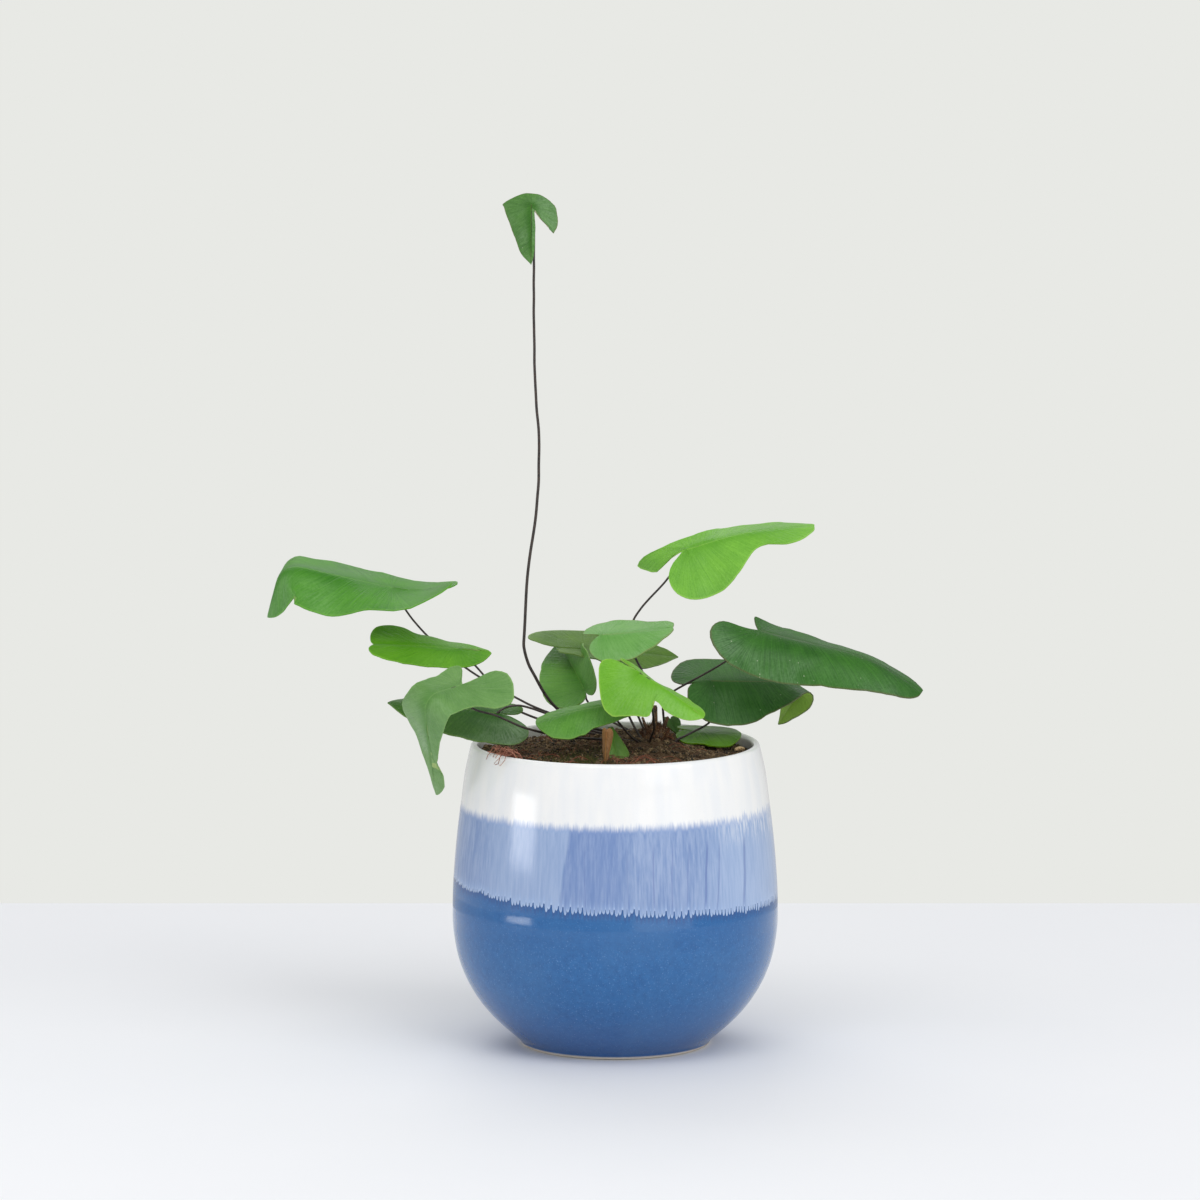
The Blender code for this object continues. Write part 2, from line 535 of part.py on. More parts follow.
def add_stick():
    """Pale bit of wood lying on the soil near the right of the rim."""
    path = ((50.4, -3.4, 125.4), (52.4, -2.0, 125.7), (54.4, -0.8, 125.3))
    points, faces = tube(path, [0.7, 0.9, 0.6], 6)
    return add_object("stick", points, faces, (0.5, 0.38, 0.22), 0.8)


def main():
    """Build the whole plant and its pot."""
    for obj in list(bpy.data.objects):
        bpy.data.objects.remove(obj)
    add_pot()
    add_soil()
    add_crown()
    for name, leaf in LEAVES.items():
        add_blade("blade_" + name, leaf, leaf["color"])
        add_stipe("stipe_" + name, leaf, STIPES[name])
    add_blade("dry_leaflet", DRY_LEAFLET, (0.25, 0.11, 0.04))
    add_stick()


main()
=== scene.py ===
"""Heart leaf fern in a banded blue and white pot. Lengths are in millimetres until a mesh is made."""
import math
import random

import bmesh
import bpy
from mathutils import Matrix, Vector, noise

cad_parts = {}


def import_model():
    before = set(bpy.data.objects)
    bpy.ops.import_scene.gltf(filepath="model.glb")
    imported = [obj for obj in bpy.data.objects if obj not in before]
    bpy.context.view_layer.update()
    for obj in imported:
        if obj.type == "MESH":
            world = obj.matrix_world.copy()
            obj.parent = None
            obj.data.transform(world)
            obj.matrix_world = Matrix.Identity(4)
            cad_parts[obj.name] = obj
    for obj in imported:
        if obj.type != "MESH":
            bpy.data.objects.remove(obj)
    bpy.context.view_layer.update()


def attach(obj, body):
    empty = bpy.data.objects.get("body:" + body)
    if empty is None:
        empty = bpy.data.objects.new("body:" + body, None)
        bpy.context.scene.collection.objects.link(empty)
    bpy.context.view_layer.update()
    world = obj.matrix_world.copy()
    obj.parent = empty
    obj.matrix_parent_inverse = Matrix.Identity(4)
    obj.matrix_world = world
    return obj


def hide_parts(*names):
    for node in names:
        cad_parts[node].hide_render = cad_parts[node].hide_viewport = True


MM = 0.001
RIM_Z = 128.0
SOIL_RADIUS = 57.7
SOIL_EDGE_Z = 123.2
SOIL_RISE = 4.2
CROWN_CENTRE = (17.0, 4.0)
STIPE_RADIUS = 0.55
HOLE_DEPTH = 6.0

# Outside and inside of the pot as (radius, height), from the foot up.
POT_OUTSIDE = (
    (38.6, 0.0), (39.6, 0.1), (40.2, 0.9), (41.4, 2.6), (45.3, 6.0), (49.2, 9.5), (52.7, 13.0), (55.7, 16.5),
    (58.3, 20.0), (60.8, 24.0), (62.9, 28.0), (64.6, 32.0), (66.3, 37.0), (67.6, 43.0), (68.5, 50.0), (68.7, 57.0),
    (68.5, 67.0), (67.6, 80.0), (66.4, 92.0), (64.9, 104.0), (63.3, 116.0), (61.2, 125.6))
POT_LIP = ((60.95, 126.7), (60.5, 127.5), (59.9, 127.9), (59.3, 128.0), (58.7, 127.9), (58.2, 127.4), (57.95, 126.6))
POT_INSIDE = ((57.9, 125.6), (59.6, 118.0), (61.0, 108.0))

# Stations along a blade, as a share of its length, for the tables of each leaf.
MARGIN_AT = (-0.3, 0.05, 0.25, 0.45, 0.65, 0.85, 1.0)
FOLD_AT = (-0.35, 0.1, 0.4, 0.7, 1.0)
CURL_AT = (-0.35, 0.3, 1.0)
LEVEL = ((0, 0, 0, 0, 0), (0, 0, 0))
# End of a stipe from the joint, along and across the midrib and upward.
TAIL = (-1.4, 0.0, -1.6)

LEAVES = {
    "far_left": dict(
        joint=(-93.8, 12.0, 192.0), heading=181, pitch=13, roll=-8, length=69.2, width=44, lobe=30, blunt=0.75,
        bend=((88, 0.54, 0.8),), back=(-52, -30),
        left=((-4, 10, 28, 29, 25), (5, 12, 5)), right=((5, 2, 2, 4, 5), (0, 0, 0)),
        margins=((1, 0.95, 1.08, 1.08, 1.04, 1.04, 1.1), (1, 1, 1, 1, 1.1, 1.3, 1.3))),
    "left": dict(
        joint=(-66.1, 2.0, 167.5), heading=184, pitch=6, roll=-14, length=36, width=28, lobe=14, blunt=0.9,
        bend=((4, 0, 1),), back=(-18, 4),
        left=((26, 18, 16, 13, 10), (5, 10, 5)), right=((5, 4, -4, -10, -12), (0, 0, 0)),
        edges=((((-1.2, 0), (-7, 0.9), (-13.6, 2.8), (-11.5, 6), (-7, 9.0), (-1, 11.2), (4, 12)),
                ((4, 12), (12, 12.6), (22, 12.6), (30, 11.6), (35.6, 8.8), (37.8, 4), (35.6, 0))),
               (((-1.2, 0), (-6, 0.8), (-13, 1.9), (-11, 3.8), (-5, 6.2), (3, 8.2)),
                ((3, 8.2), (11, 10.2), (18, 11.2), (22.5, 13.6), (29, 14.8), (34, 12.5), (36.6, 8), (37, 3), (35.6, 0))))),
    "front_left": dict(
        joint=(-64.6, -40.4, 158.2), heading=234, pitch=-4, roll=-22, length=73, width=42, lobe=27,
        bend=((120, 0.19, 0.39),), back=(-34, -26),
        left=((8, 16, 16, 10, 10), (0, 5, 0)), right=((-8, -4, 4, 14, 14), (0, 5, 5)),
        edges=((((-1.6, 0), (-8, 0.6), (-15, 0.9), (-20, 2.8), (-22.2, 7.4), (-20, 12.6), (-15.2, 17.6), (-10.8, 18.8), (-5, 16.6)),
                ((-5, 16.6), (0.7, 12.6), (8.7, 11.8), (19, 12.0), (30, 9.4), (41, 6.0), (51, 3.8), (57, 2.8), (59, 0.4),
                 (61.4, 0.3), (61.2, 2.6), (64, 5.2), (72.6, 5), (78.6, 1.4), (79.4, 0))),
               (((-1.6, 0), (-5.5, 3.6), (-9.7, 6.6), (-10.8, 9.4), (-7, 11), (-1, 10.2), (5.8, 9)),
                ((5.8, 9), (13, 9.4), (22, 10.6), (31, 13.8), (40, 16), (46.5, 14), (50, 10.4), (56, 7), (63, 4.4),
                 (72, 2), (79.4, 0))))),
    "low_left": dict(
        joint=(-49.7, -12.0, 142.2), heading=182, pitch=8, roll=-12, length=46, width=32, lobe=12, blunt=0.4, lobes=(1.3, 1.0),
        bend=((4, 0, 1),), tail=(-1.2, 0.2, 1.5),
        left=((45, 26, 20, 20, 18), (5, 12, 5)), right=((-14, -8, -4, 0, 0), (0, 0, 0)),
        margins=((1, 1, 1.05, 1.15, 1.3, 1.3, 1), (0.7, 0.6, 0.6, 0.8, 1, 1, 1))),
    "back_left": dict(
        joint=(-12.3, 34.0, 162.7), heading=8, pitch=-4, roll=27, length=40, width=32, lobe=25,
        bend=((4, 0, 1),), lobes=(1.08, 0.55), tail=(0.4, 0, -1.8),
        left=((8, 4, 0, 0, 0), (0, 0, 0)), right=((-14, -6, 0, 0, 0), (0, 0, 0)),
        margins=((1.1, 1, 1, 1, 1, 1, 1), (0.45, 0.5, 0.9, 1, 1.1, 1.1, 1))),
    "upper_centre": dict(
        joint=(-5.6, 0.0, 173.7), heading=-2, pitch=5, roll=0, length=30, width=30, lobe=8, blunt=0.5,
        bend=((-4, 0, 1),), back=(20, 20),
        left=((-14, -14, -10, -10, -8), (0, 0, 0)), right=((38, 36, 34, 28, 20), (10, 10, 0)),
        edges=((((-0.9, 0), (-3.6, 1.6), (-7.4, 5), (-7, 9), (-4, 11.6), (0, 13), (2.4, 13.4)),
                ((2.4, 13.4), (8, 15.4), (14, 14.8), (19, 11.6), (23.5, 9.5), (27.5, 8.5), (30.4, 4.5), (30, 0))),
               (((-0.9, 0), (-3.4, 2), (-6.4, 5.2), (-6.8, 8.6), (-4.8, 12), (-1, 14.4), (2.4, 15)),
                ((2.4, 15), (8, 15.6), (14, 15.2), (20, 12.6), (26, 8.2), (30, 3.4), (30, 0))))),
    "centre": dict(
        joint=(10.4, -34.0, 162.5), heading=-22, pitch=-28, roll=22, length=33, width=36, lobe=18,
        bend=((8, 0, 1),),
        left=((35, 40, 36, 30, 20), (0, 0, 0)), right=((40, 38, 30, 25, 25), (15, 30, 10)),
        edges=((((-1.2, 0), (-6, 2.2), (-12, 6.5), (-12.4, 11), (-8, 15), (-2, 17), (3, 17.6)),
                ((3, 17.6), (10, 17), (18, 13.5), (26, 8.5), (31.5, 3.6), (33, 0))),
               (((-1.2, 0), (-5.7, 0.3), (-10.2, 0.7), (-14.3, 1.8), (-16.6, 4.4), (-16.1, 7.6), (-13.1, 12), (-9.5, 16.7), (-6.1, 20),
                 (-2.8, 21.4)),
                ((-2.8, 21.4), (0.1, 21.6), (4, 19), (9, 16.2), (13.6, 13.8), (13.1, 9.9), (11.6, 6.9), (13.4, 6.6), (17.5, 7.6),
                 (21.9, 7.6), (26, 6.6), (29, 5), (31.6, 2.6), (33, 0))))),
    "low_centre": dict(
        joint=(-3.5, -21.0, 146.8), heading=190, pitch=-6, roll=-18, length=31, width=28, lobe=17, blunt=0.8,
        bend=((16, 0, 1),),
        left=((10, 20, 18, 15, 15), (10, 15, 5)), right=((0, 5, 5, 5, 5), (0, 0, 0)),
        margins=((0.62, 0.7, 0.78, 0.98, 1.15, 1.2, 1), (0.6, 0.45, 0.4, 0.4, 0.45, 0.6, 1))),
    "upper_right": dict(
        joint=(30.5, 20.0, 207.4), heading=2, pitch=18, roll=14, length=55, width=42, lobe=21,
        bend=((16, 0, 1),), back=(65, 10),
        left=((-24, -12, 4, 8, 8), (0, 0, 0)), right=((38, 40, 28, 14, 8), (15, 25, 0)),
        edges=((((-1.6, 0), (-8, 0.3), (-13, 0.8), (-17.3, 3.4), (-18.9, 9.6), (-19.8, 16.4), (-16.4, 15), (-12, 11.4), (-7.7, 9.2), (-2, 8.2)),
                ((-2, 8.2), (6, 9), (16, 11.2), (27, 12.2), (40, 9.2), (50, 5.2), (54.8, 2), (55, 0))),
               (((-1.6, 0), (-8.4, 4.6), (-11.5, 8.4), (-12.4, 13), (-11, 17.6), (-7.4, 21), (-2, 23), (4, 23)),
                ((4, 23), (12, 21.5), (20, 16.6), (27, 10.4), (32, 9), (40, 12), (48, 10.4), (54, 4.6), (55, 0))))),
    "back_centre": dict(
        joint=(-13.1, 22.0, 147.4), heading=112, pitch=32, roll=-10, length=34, width=34, lobe=10, blunt=0.5,
        bend=((10, 0, 1),), back=(-10, -10),
        left=((5, 10, 10, 10, 10), (0, 0, 0)), right=((-66, -68, -60, -40, -15), (-20, -20, 0)),
        margins=((1, 1, 1, 1, 1, 1, 1), (0.75, 0.75, 0.75, 0.75, 0.75, 0.75, 1))),
    "right": dict(
        joint=(61.4, -10.0, 176.6), tail=(-1.4, 0, -1.15), heading=-14, pitch=-11.5, roll=12, length=73, width=42,
        lobe=19, blunt=0.5, bend=((24, 0.4, 0.95),), back=(-5, -26),
        left=((-24, 8, 15, 15, 8), (0, 0, 0)), right=((-14, -6, -6, 0, 5), (50, 80, 55)),
        edges=((((-1.6, 0), (-2.6, 2.0), (-4.2, 5), (-5.6, 8.4), (-6.4, 11), (-5, 12.2), (0, 13)),
                ((0, 13), (14, 14.2), (28, 13.6), (43, 11.6), (56, 9), (67.4, 5.2), (72.4, 2.4), (73, 0))),
               (((-1.6, 0), (-6, 2.2), (-11.5, 4.6), (-16, 8), (-18.2, 12.6), (-18, 17.4), (-14, 21.6), (-6, 24),
                 (2, 24.4)),
                ((2, 24.6), (16, 24.2), (31, 21.8), (46, 18.8), (58, 14.8), (67.2, 10.2), (72.4, 5), (73, 0))))),
    "low_right": dict(
        joint=(40.6, 4.0, 153.6), heading=24, pitch=-4, roll=12, length=61, width=40, lobe=18, blunt=0.45,
        bend=((118, 0.58, 0.8),), back=(45, 0), lobes=(0.85, 0.8), slant=0.4,
        left=((-4, -8, -8, -5, -5), (0, 0, 0)), right=((35, 42, 30, -5, -5), (15, 22, -25)),
        margins=((1, 1, 1, 1, 1.1, 1.3, 1), (1, 1, 1, 0.85, 0.9, 1.0, 1))),
    "rim_right": dict(
        joint=(31.4, 8.0, 132.0), heading=-4, pitch=-2, roll=10, length=22, width=20, lobe=6, blunt=0.9, tail=(-1.2, 0, -1.5),
        bend=((5, 0, 1),), small=True,
        left=((8, 8, 8, 8, 8), (0, 0, 0)), right=((14, 16, 16, 14, 12), (0, 0, 0)),
        margins=((1, 1, 1, 1.1, 1.2, 1.3, 1), (1, 1, 1, 1.1, 1.2, 1.3, 1))),
    "small_back": dict(
        joint=(23.8, 24.0, 133.6), heading=-60, pitch=-40, roll=0, length=7, width=8, lobe=2.5, small=True),
    "small_front": dict(
        joint=(-1.8, -26.0, 137.7), heading=-62, pitch=-58, roll=0, length=14, width=11, lobe=2.5, small=True,
        edges=((((-0.5, 0), (-0.9, 0.5), (-0.4, 1.2), (1, 1.7)), ((1, 1.7), (5, 3.2), (9, 5), (12, 5.4), (13.6, 3.4), (14, 0))),
               (((-0.5, 0), (-0.9, 0.5), (-0.4, 1.2), (1, 1.7)), ((1, 1.7), (5, 2.6), (9, 3.6), (12, 3.8), (13.6, 2.4), (14, 0))))),
    "fertile": dict(
        joint=(-35.0, 0.0, 354.6), heading=-95, pitch=-80, roll=0, length=25, width=26, lobe=6,
        back=(40, 40),
        left=((20, 20, 14, 10, 10), (28, 20, 10)), right=((15, 20, 25, 30, 30), (10, 15, 10)),
        edges=((((-5, 0), (-5.2, 4), (-3.2, 8.6), (2.2, 11.4), (8, 11.6), (11.8, 9.6)),
                ((11.8, 9.6, 0), (8.8, 7.4, 0.1), (6.2, 4.4, 0.3), (3.4, 2.6, 0.8), (2.2, 1.6, 1.8), (4, 1.5, 4.4),
                 (9, 1.7, 9.5), (15, 1.6, 15.5), (21, 1.2, 21), (25, 0, 24))),
               (((-5, 0), (-6, 4), (-5, 9.5), (-2.6, 13.6), (1.5, 13.2), (6, 11.5)),
                ((6, 11.5, 0), (11, 9.6, 5), (16, 7.2, 11), (21, 4.2, 18), (25, 0, 24))))),
}
DRY_LEAFLET = dict(
    joint=(-3.8, -40.5, 138.4), heading=-104, pitch=-76, roll=0, length=13, width=7.4, lobe=2, small=True,
    left=((30, 35, 38, 40, 40), (40, 45, 45)), right=((25, 30, 35, 35, 35), (35, 40, 40)))

# Stipes as the points between the joint and the place where they enter the soil, which comes last.
STIPES = {
    "far_left": ((-88.3, 15, 182), (-79.1, 19.5, 170.2), (-61, 15, 156), (-42.1, 9, 145.8), (-29.9, 6.4, 140.4),
                 (-9.8, 6.4, 133.4), (6, 8)),
    "left": ((-57.7, 2, 159), (-45.1, 2, 144.6), (-35.8, 2.4, 138.9), (-14.8, 2.4, 132.3), (5.5, 3)),
    "front_left": ((-59.8, -34, 147.9), (-49.3, -28, 143.5), (-36.7, -22, 137.2), (-19, -14, 132.4), (6, -6.5)),
    "low_left": ((-44.6, -11.4, 145), (-39, -10, 145), (-29.5, -8, 141.7), (-12.3, -3, 134.2), (4.5, -1.8)),
    "back_left": ((-6, 33, 159.2), (2, 30, 153.5), (8, 22, 140), (13, 13.8)),
    "upper_centre": ((-5.6, 1, 167.5), (-1.4, 2, 158.6), (4.5, 0, 141.9), (11, -2.5)),
    "centre": ((12.5, -31, 156), (15, -26, 148), (16.2, -15, 137), (14.5, -6.8)),
    "low_centre": ((0.6, -17, 140.2), (6.4, -12, 132.4), (9.5, -9)),
    "upper_right": ((22.2, 20, 195), (10.8, 21, 181.9), (6.6, 21, 173), (8.3, 18, 162.4), (12.9, 15.5, 152.6),
                    (15.8, 14, 141), (16.4, 13.2)),
    "back_centre": ((-11, 19.4, 141.6), (-2.5, 15, 135.2), (9.5, 11)),
    "right": ((45.7, -4, 162.6), (24.2, 4, 149), (20.4, 8.6, 143.5), (20.6, 10.6, 135.4), (21, 11.6)),
    "low_right": ((40.8, 7.4, 147), (40.6, 4.4, 137), (31.4, 1.2, 131.6), (26, 0.5)),
    "rim_right": ((28.9, 8.2, 129.8), (27, 8.3)),
    "small_back": ((23, 27, 133), (22.6, 28.6)),
    "small_front": ((-1, -24, 133.2), (1, -21)),
    "fertile": ((-34, 3, 347), (-34.1, 4, 329.1), (-34.1, 4, 310.8), (-33.9, 4, 292.4), (-33.3, 4, 274),
                (-32, 4, 255.8), (-32.3, 4, 238.8), (-33.5, 4, 221.9), (-36.7, 4.5, 200.1), (-38.3, 5, 173.3),
                (-37.9, 5.6, 165.1), (-34.1, 7, 155.5), (-24.9, 9.4, 141.2), (-10.6, 10.8, 132.8), (4, 12.5)),
}


def smooth(t):
    """Ease between 0 and 1."""
    return t * t * (3 - 2 * t)


def along(values, share, stations):
    """Value of a leaf table at a share of the blade's length."""
    if share <= stations[0]:
        return values[0]
    for start, end, first, second in zip(stations, stations[1:], values, values[1:]):
        if share <= end:
            return first + (second - first) * smooth((share - start) / (end - start))
    return values[-1]


def curve_through(points, steps):
    """Points on a smooth curve through the given ones, with so many steps in all."""
    before = tuple(2 * a - b for a, b in zip(points[0], points[1]))
    after = tuple(2 * a - b for a, b in zip(points[-1], points[-2]))
    padded = [before] + list(points) + [after]
    spans = len(points) - 1
    result = []
    for step in range(steps + 1):
        place = min(step / steps * spans, spans - 1e-9)
        i = int(place)
        t = place - i
        result.append(tuple(
            0.5 * (2 * b + (c - a) * t + (2 * a - 5 * b + 4 * c - d) * t * t + (3 * b - 3 * c + d - a) * t ** 3)
            for a, b, c, d in zip(*padded[i:i + 4])))
    return result


def bezier(corners, t):
    """Point on a cubic curve in the plane."""
    weights = ((1 - t) ** 3, 3 * (1 - t) ** 2 * t, 3 * (1 - t) * t * t, t ** 3)
    return tuple(sum(w * c[i] for w, c in zip(weights, corners)) for i in (0, 1))


def heart_margin(leaf, side, lobe_steps, side_steps):
    """Margin of one flat wing from sinus to tip, as (x along the midrib, y out, x of the rib's start)."""
    length = leaf["length"]
    half = leaf["width"] / 2
    lobe = leaf["lobe"]
    blunt = leaf.get("blunt", 0.25)
    wing = 0 if side > 0 else 1
    reached = (0.86 if leaf.get("small") else 0.96) * length
    starts = [reached * (i / side_steps) ** 1.25 for i in range(side_steps + 1)]
    if "edges" in leaf:
        lobe_edge, side_edge = leaf["edges"][wing]
        flat = curve_through(lobe_edge, lobe_steps)[:-1] + curve_through(side_edge, side_steps)
        starts = [0.0] * lobe_steps + starts
        return [(*place[:2], place[2] if len(place) > 2 else start) for place, start in zip(flat, starts)]
    sinus = -0.03 * length
    shoulder = 0.08 * length
    opening = leaf.get("opening", 0.04) * half
    lobe_corners = ((sinus, 0), (sinus - 1.15 * lobe, opening), (-1.22 * lobe, half), (shoulder, half))
    blunt_x = length * (0.88 + 0.28 * max(0.0, blunt - 0.5))
    side_corners = ((shoulder, half), (shoulder + 0.38 * length, half), (blunt_x, 1.2 * blunt * half), (length, 0))
    flat = [bezier(side_corners, i / side_steps) for i in range(side_steps + 1)]
    slant = leaf.get("slant", 1.0)
    for i in range(1, side_steps):
        starts[i] = flat[i][0] + slant * (starts[i] - flat[i][0])
    starts = [0.0] * lobe_steps + starts
    flat = [bezier(lobe_corners, i / lobe_steps) for i in range(lobe_steps)] + flat
    reach = leaf.get("lobes", (1, 1))[wing]
    margins = leaf.get("margins")
    result = []
    for (x, y), start in zip(flat, starts):
        share = x / length
        wide = along(margins[wing], share, MARGIN_AT) if margins else 1.0
        if x < 0:
            x *= 1 + (reach - 1) * min(1.0, y / (0.3 * half))
        result.append((x, y * wide, start))
    return result


def midrib_slope(leaf, x, side):
    """Downward angle of the midrib at x, in radians."""
    if x < 0:
        back = leaf.get("back", (0, 0))[0 if side > 0 else 1]
        return math.radians(back * x / leaf["lobe"])
    share = x / leaf["length"]
    angle = sum(total * smooth(min(1.0, max(0.0, (share - start) / (end - start))))
                for total, start, end in leaf.get("bend", ((10, 0, 1),)))
    return math.radians(angle)


def blade_point(leaf, x, y):
    """Place in the frame of a point of the flat blade."""
    side = 1 if y >= 0 else -1
    half = leaf["width"] / 2
    folds, curls = leaf.get("left" if side > 0 else "right", LEVEL)
    share = x / leaf["length"]
    fold = math.radians(along(folds, share, FOLD_AT))
    curl = math.radians(along(curls, share, CURL_AT))
    out = abs(y)
    if abs(curl) > 1e-4:
        radius = half / curl
        across = radius * (math.sin(fold + curl * out / half) - math.sin(fold))
        up = radius * (math.cos(fold + curl * out / half) - math.cos(fold))
    else:
        across = out * math.cos(fold)
        up = -out * math.sin(fold)
    steps = 24
    rib_x = 0.0
    rib_z = 0.0
    for i in range(steps):
        slope = midrib_slope(leaf, x * (i + 0.5) / steps, side)
        rib_x += math.cos(slope) * x / steps
        rib_z -= math.sin(slope) * x / steps
    slope = midrib_slope(leaf, x, side)
    local = Vector((rib_x + up * math.sin(slope), side * across, rib_z + up * math.cos(slope)))
    return turned(leaf, local) + Vector(leaf["joint"])


def blade_normal(leaf, x, y):
    """Upward direction square to the blade; on the midrib it is shared by both wings."""
    step = 0.3
    total = Vector((0, 0, 0))
    for side in (1, -1):
        if y * side >= 0:
            near = blade_point(leaf, x, y + side * 1e-4)
            across = (blade_point(leaf, x, y + side * step) - near) * side
            forward = blade_point(leaf, x + step, y + side * 1e-4) - near
            total += forward.cross(across).normalized()
    return total.normalized()


def turned(leaf, local):
    """Turn a direction of the blade by its roll, pitch and heading."""
    roll, pitch, heading = (math.radians(leaf[name]) for name in ("roll", "pitch", "heading"))
    x, y, z = local
    y, z = y * math.cos(roll) - z * math.sin(roll), y * math.sin(roll) + z * math.cos(roll)
    x, z = x * math.cos(pitch) - z * math.sin(pitch), x * math.sin(pitch) + z * math.cos(pitch)
    x, y = x * math.cos(heading) - y * math.sin(heading), x * math.sin(heading) + y * math.cos(heading)
    return Vector((x, y, z))


def select_only(obj):
    bpy.ops.object.select_all(action="DESELECT")
    bpy.context.view_layer.objects.active = obj
    obj.select_set(True)


def settle(obj):
    """Put an object's place into its mesh."""
    select_only(obj)
    bpy.ops.object.transform_apply(location=True, rotation=True, scale=True)


def joined(name, parts):
    """Several objects as one, under one name."""
    bpy.ops.object.select_all(action="DESELECT")
    for part in parts:
        part.select_set(True)
    bpy.context.view_layer.objects.active = parts[0]
    if len(parts) > 1:
        bpy.ops.object.join()
    parts[0].name = name
    return parts[0]


def give(obj, node):
    """Let a piece ride on the root, and hide the part it stands in for."""
    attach(obj, "root")
    if node:
        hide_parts(node)


def linear(r, g, b):
    """Colour for a shader from its values on a screen, 0 to 255."""
    return tuple((c / 255 / 12.92 if c <= 10 else ((c / 255 + 0.055) / 1.055) ** 2.4) for c in (r, g, b)) + (1.0,)


class Nodes:
    """Short words for making and joining the nodes of one tree."""

    def __init__(self, tree):
        self.tree = tree

    def put(self, kind, **values):
        node = self.tree.nodes.new(kind)
        for name, value in values.items():
            setattr(node, name, value)
        return node

    def feed(self, socket, value):
        if isinstance(value, bpy.types.NodeSocket):
            self.tree.links.new(value, socket)
        elif value is not None:
            socket.default_value = value

    def math(self, operation, a, b=None, c=None, clamp=False):
        node = self.put("ShaderNodeMath", operation=operation, use_clamp=clamp)
        for socket, value in zip(node.inputs, (a, b, c)):
            self.feed(socket, value)
        return node.outputs[0]

    def ramp(self, value, low, high, start=0.0, end=1.0, soft=True):
        node = self.put("ShaderNodeMapRange", interpolation_type="SMOOTHSTEP" if soft else "LINEAR")
        for name, given in (("Value", value), ("From Min", low), ("From Max", high), ("To Min", start), ("To Max", end)):
            self.feed(node.inputs[name], given)
        return node.outputs[0]

    def mix(self, share, a, b, blend="MIX"):
        node = self.put("ShaderNodeMix", data_type="RGBA", blend_type=blend)
        self.feed(node.inputs[0], share)
        self.feed(node.inputs[6], a)
        self.feed(node.inputs[7], b)
        return node.outputs[2]

    def noise(self, place, scale, detail=2.0, rough=0.5, distort=0.0, dims="3D", w=None):
        node = self.put("ShaderNodeTexNoise", noise_dimensions=dims)
        if place is not None:
            self.feed(node.inputs["Vector"], place)
        if w is not None:
            self.feed(node.inputs["W"], w)
        for name, value in (("Scale", scale), ("Detail", detail), ("Roughness", rough), ("Distortion", distort)):
            self.feed(node.inputs[name], value)
        return node.outputs[0]

    def stretch(self, place, scale, shift=(0, 0, 0)):
        node = self.put("ShaderNodeMapping")
        self.feed(node.inputs["Vector"], place)
        node.inputs["Scale"].default_value = scale
        node.inputs["Location"].default_value = shift
        return node.outputs[0]


def new_material(name):
    material = bpy.data.materials.new(name)
    material.use_nodes = True
    nodes = Nodes(material.node_tree)
    shader = material.node_tree.nodes["Principled BSDF"]
    return material, nodes, shader


def new_group(name, inputs, outputs):
    """Node group with named inputs and outputs, each as (name, kind, value)."""
    tree = bpy.data.node_groups.new(name, "ShaderNodeTree")
    for label, kind, value in inputs:
        socket = tree.interface.new_socket(name=label, in_out="INPUT", socket_type="NodeSocket" + kind)
        if value is not None:
            socket.default_value = value
    for label, kind in outputs:
        tree.interface.new_socket(name=label, in_out="OUTPUT", socket_type="NodeSocket" + kind)
    nodes = Nodes(tree)
    return tree, nodes, nodes.put("NodeGroupInput"), nodes.put("NodeGroupOutput")


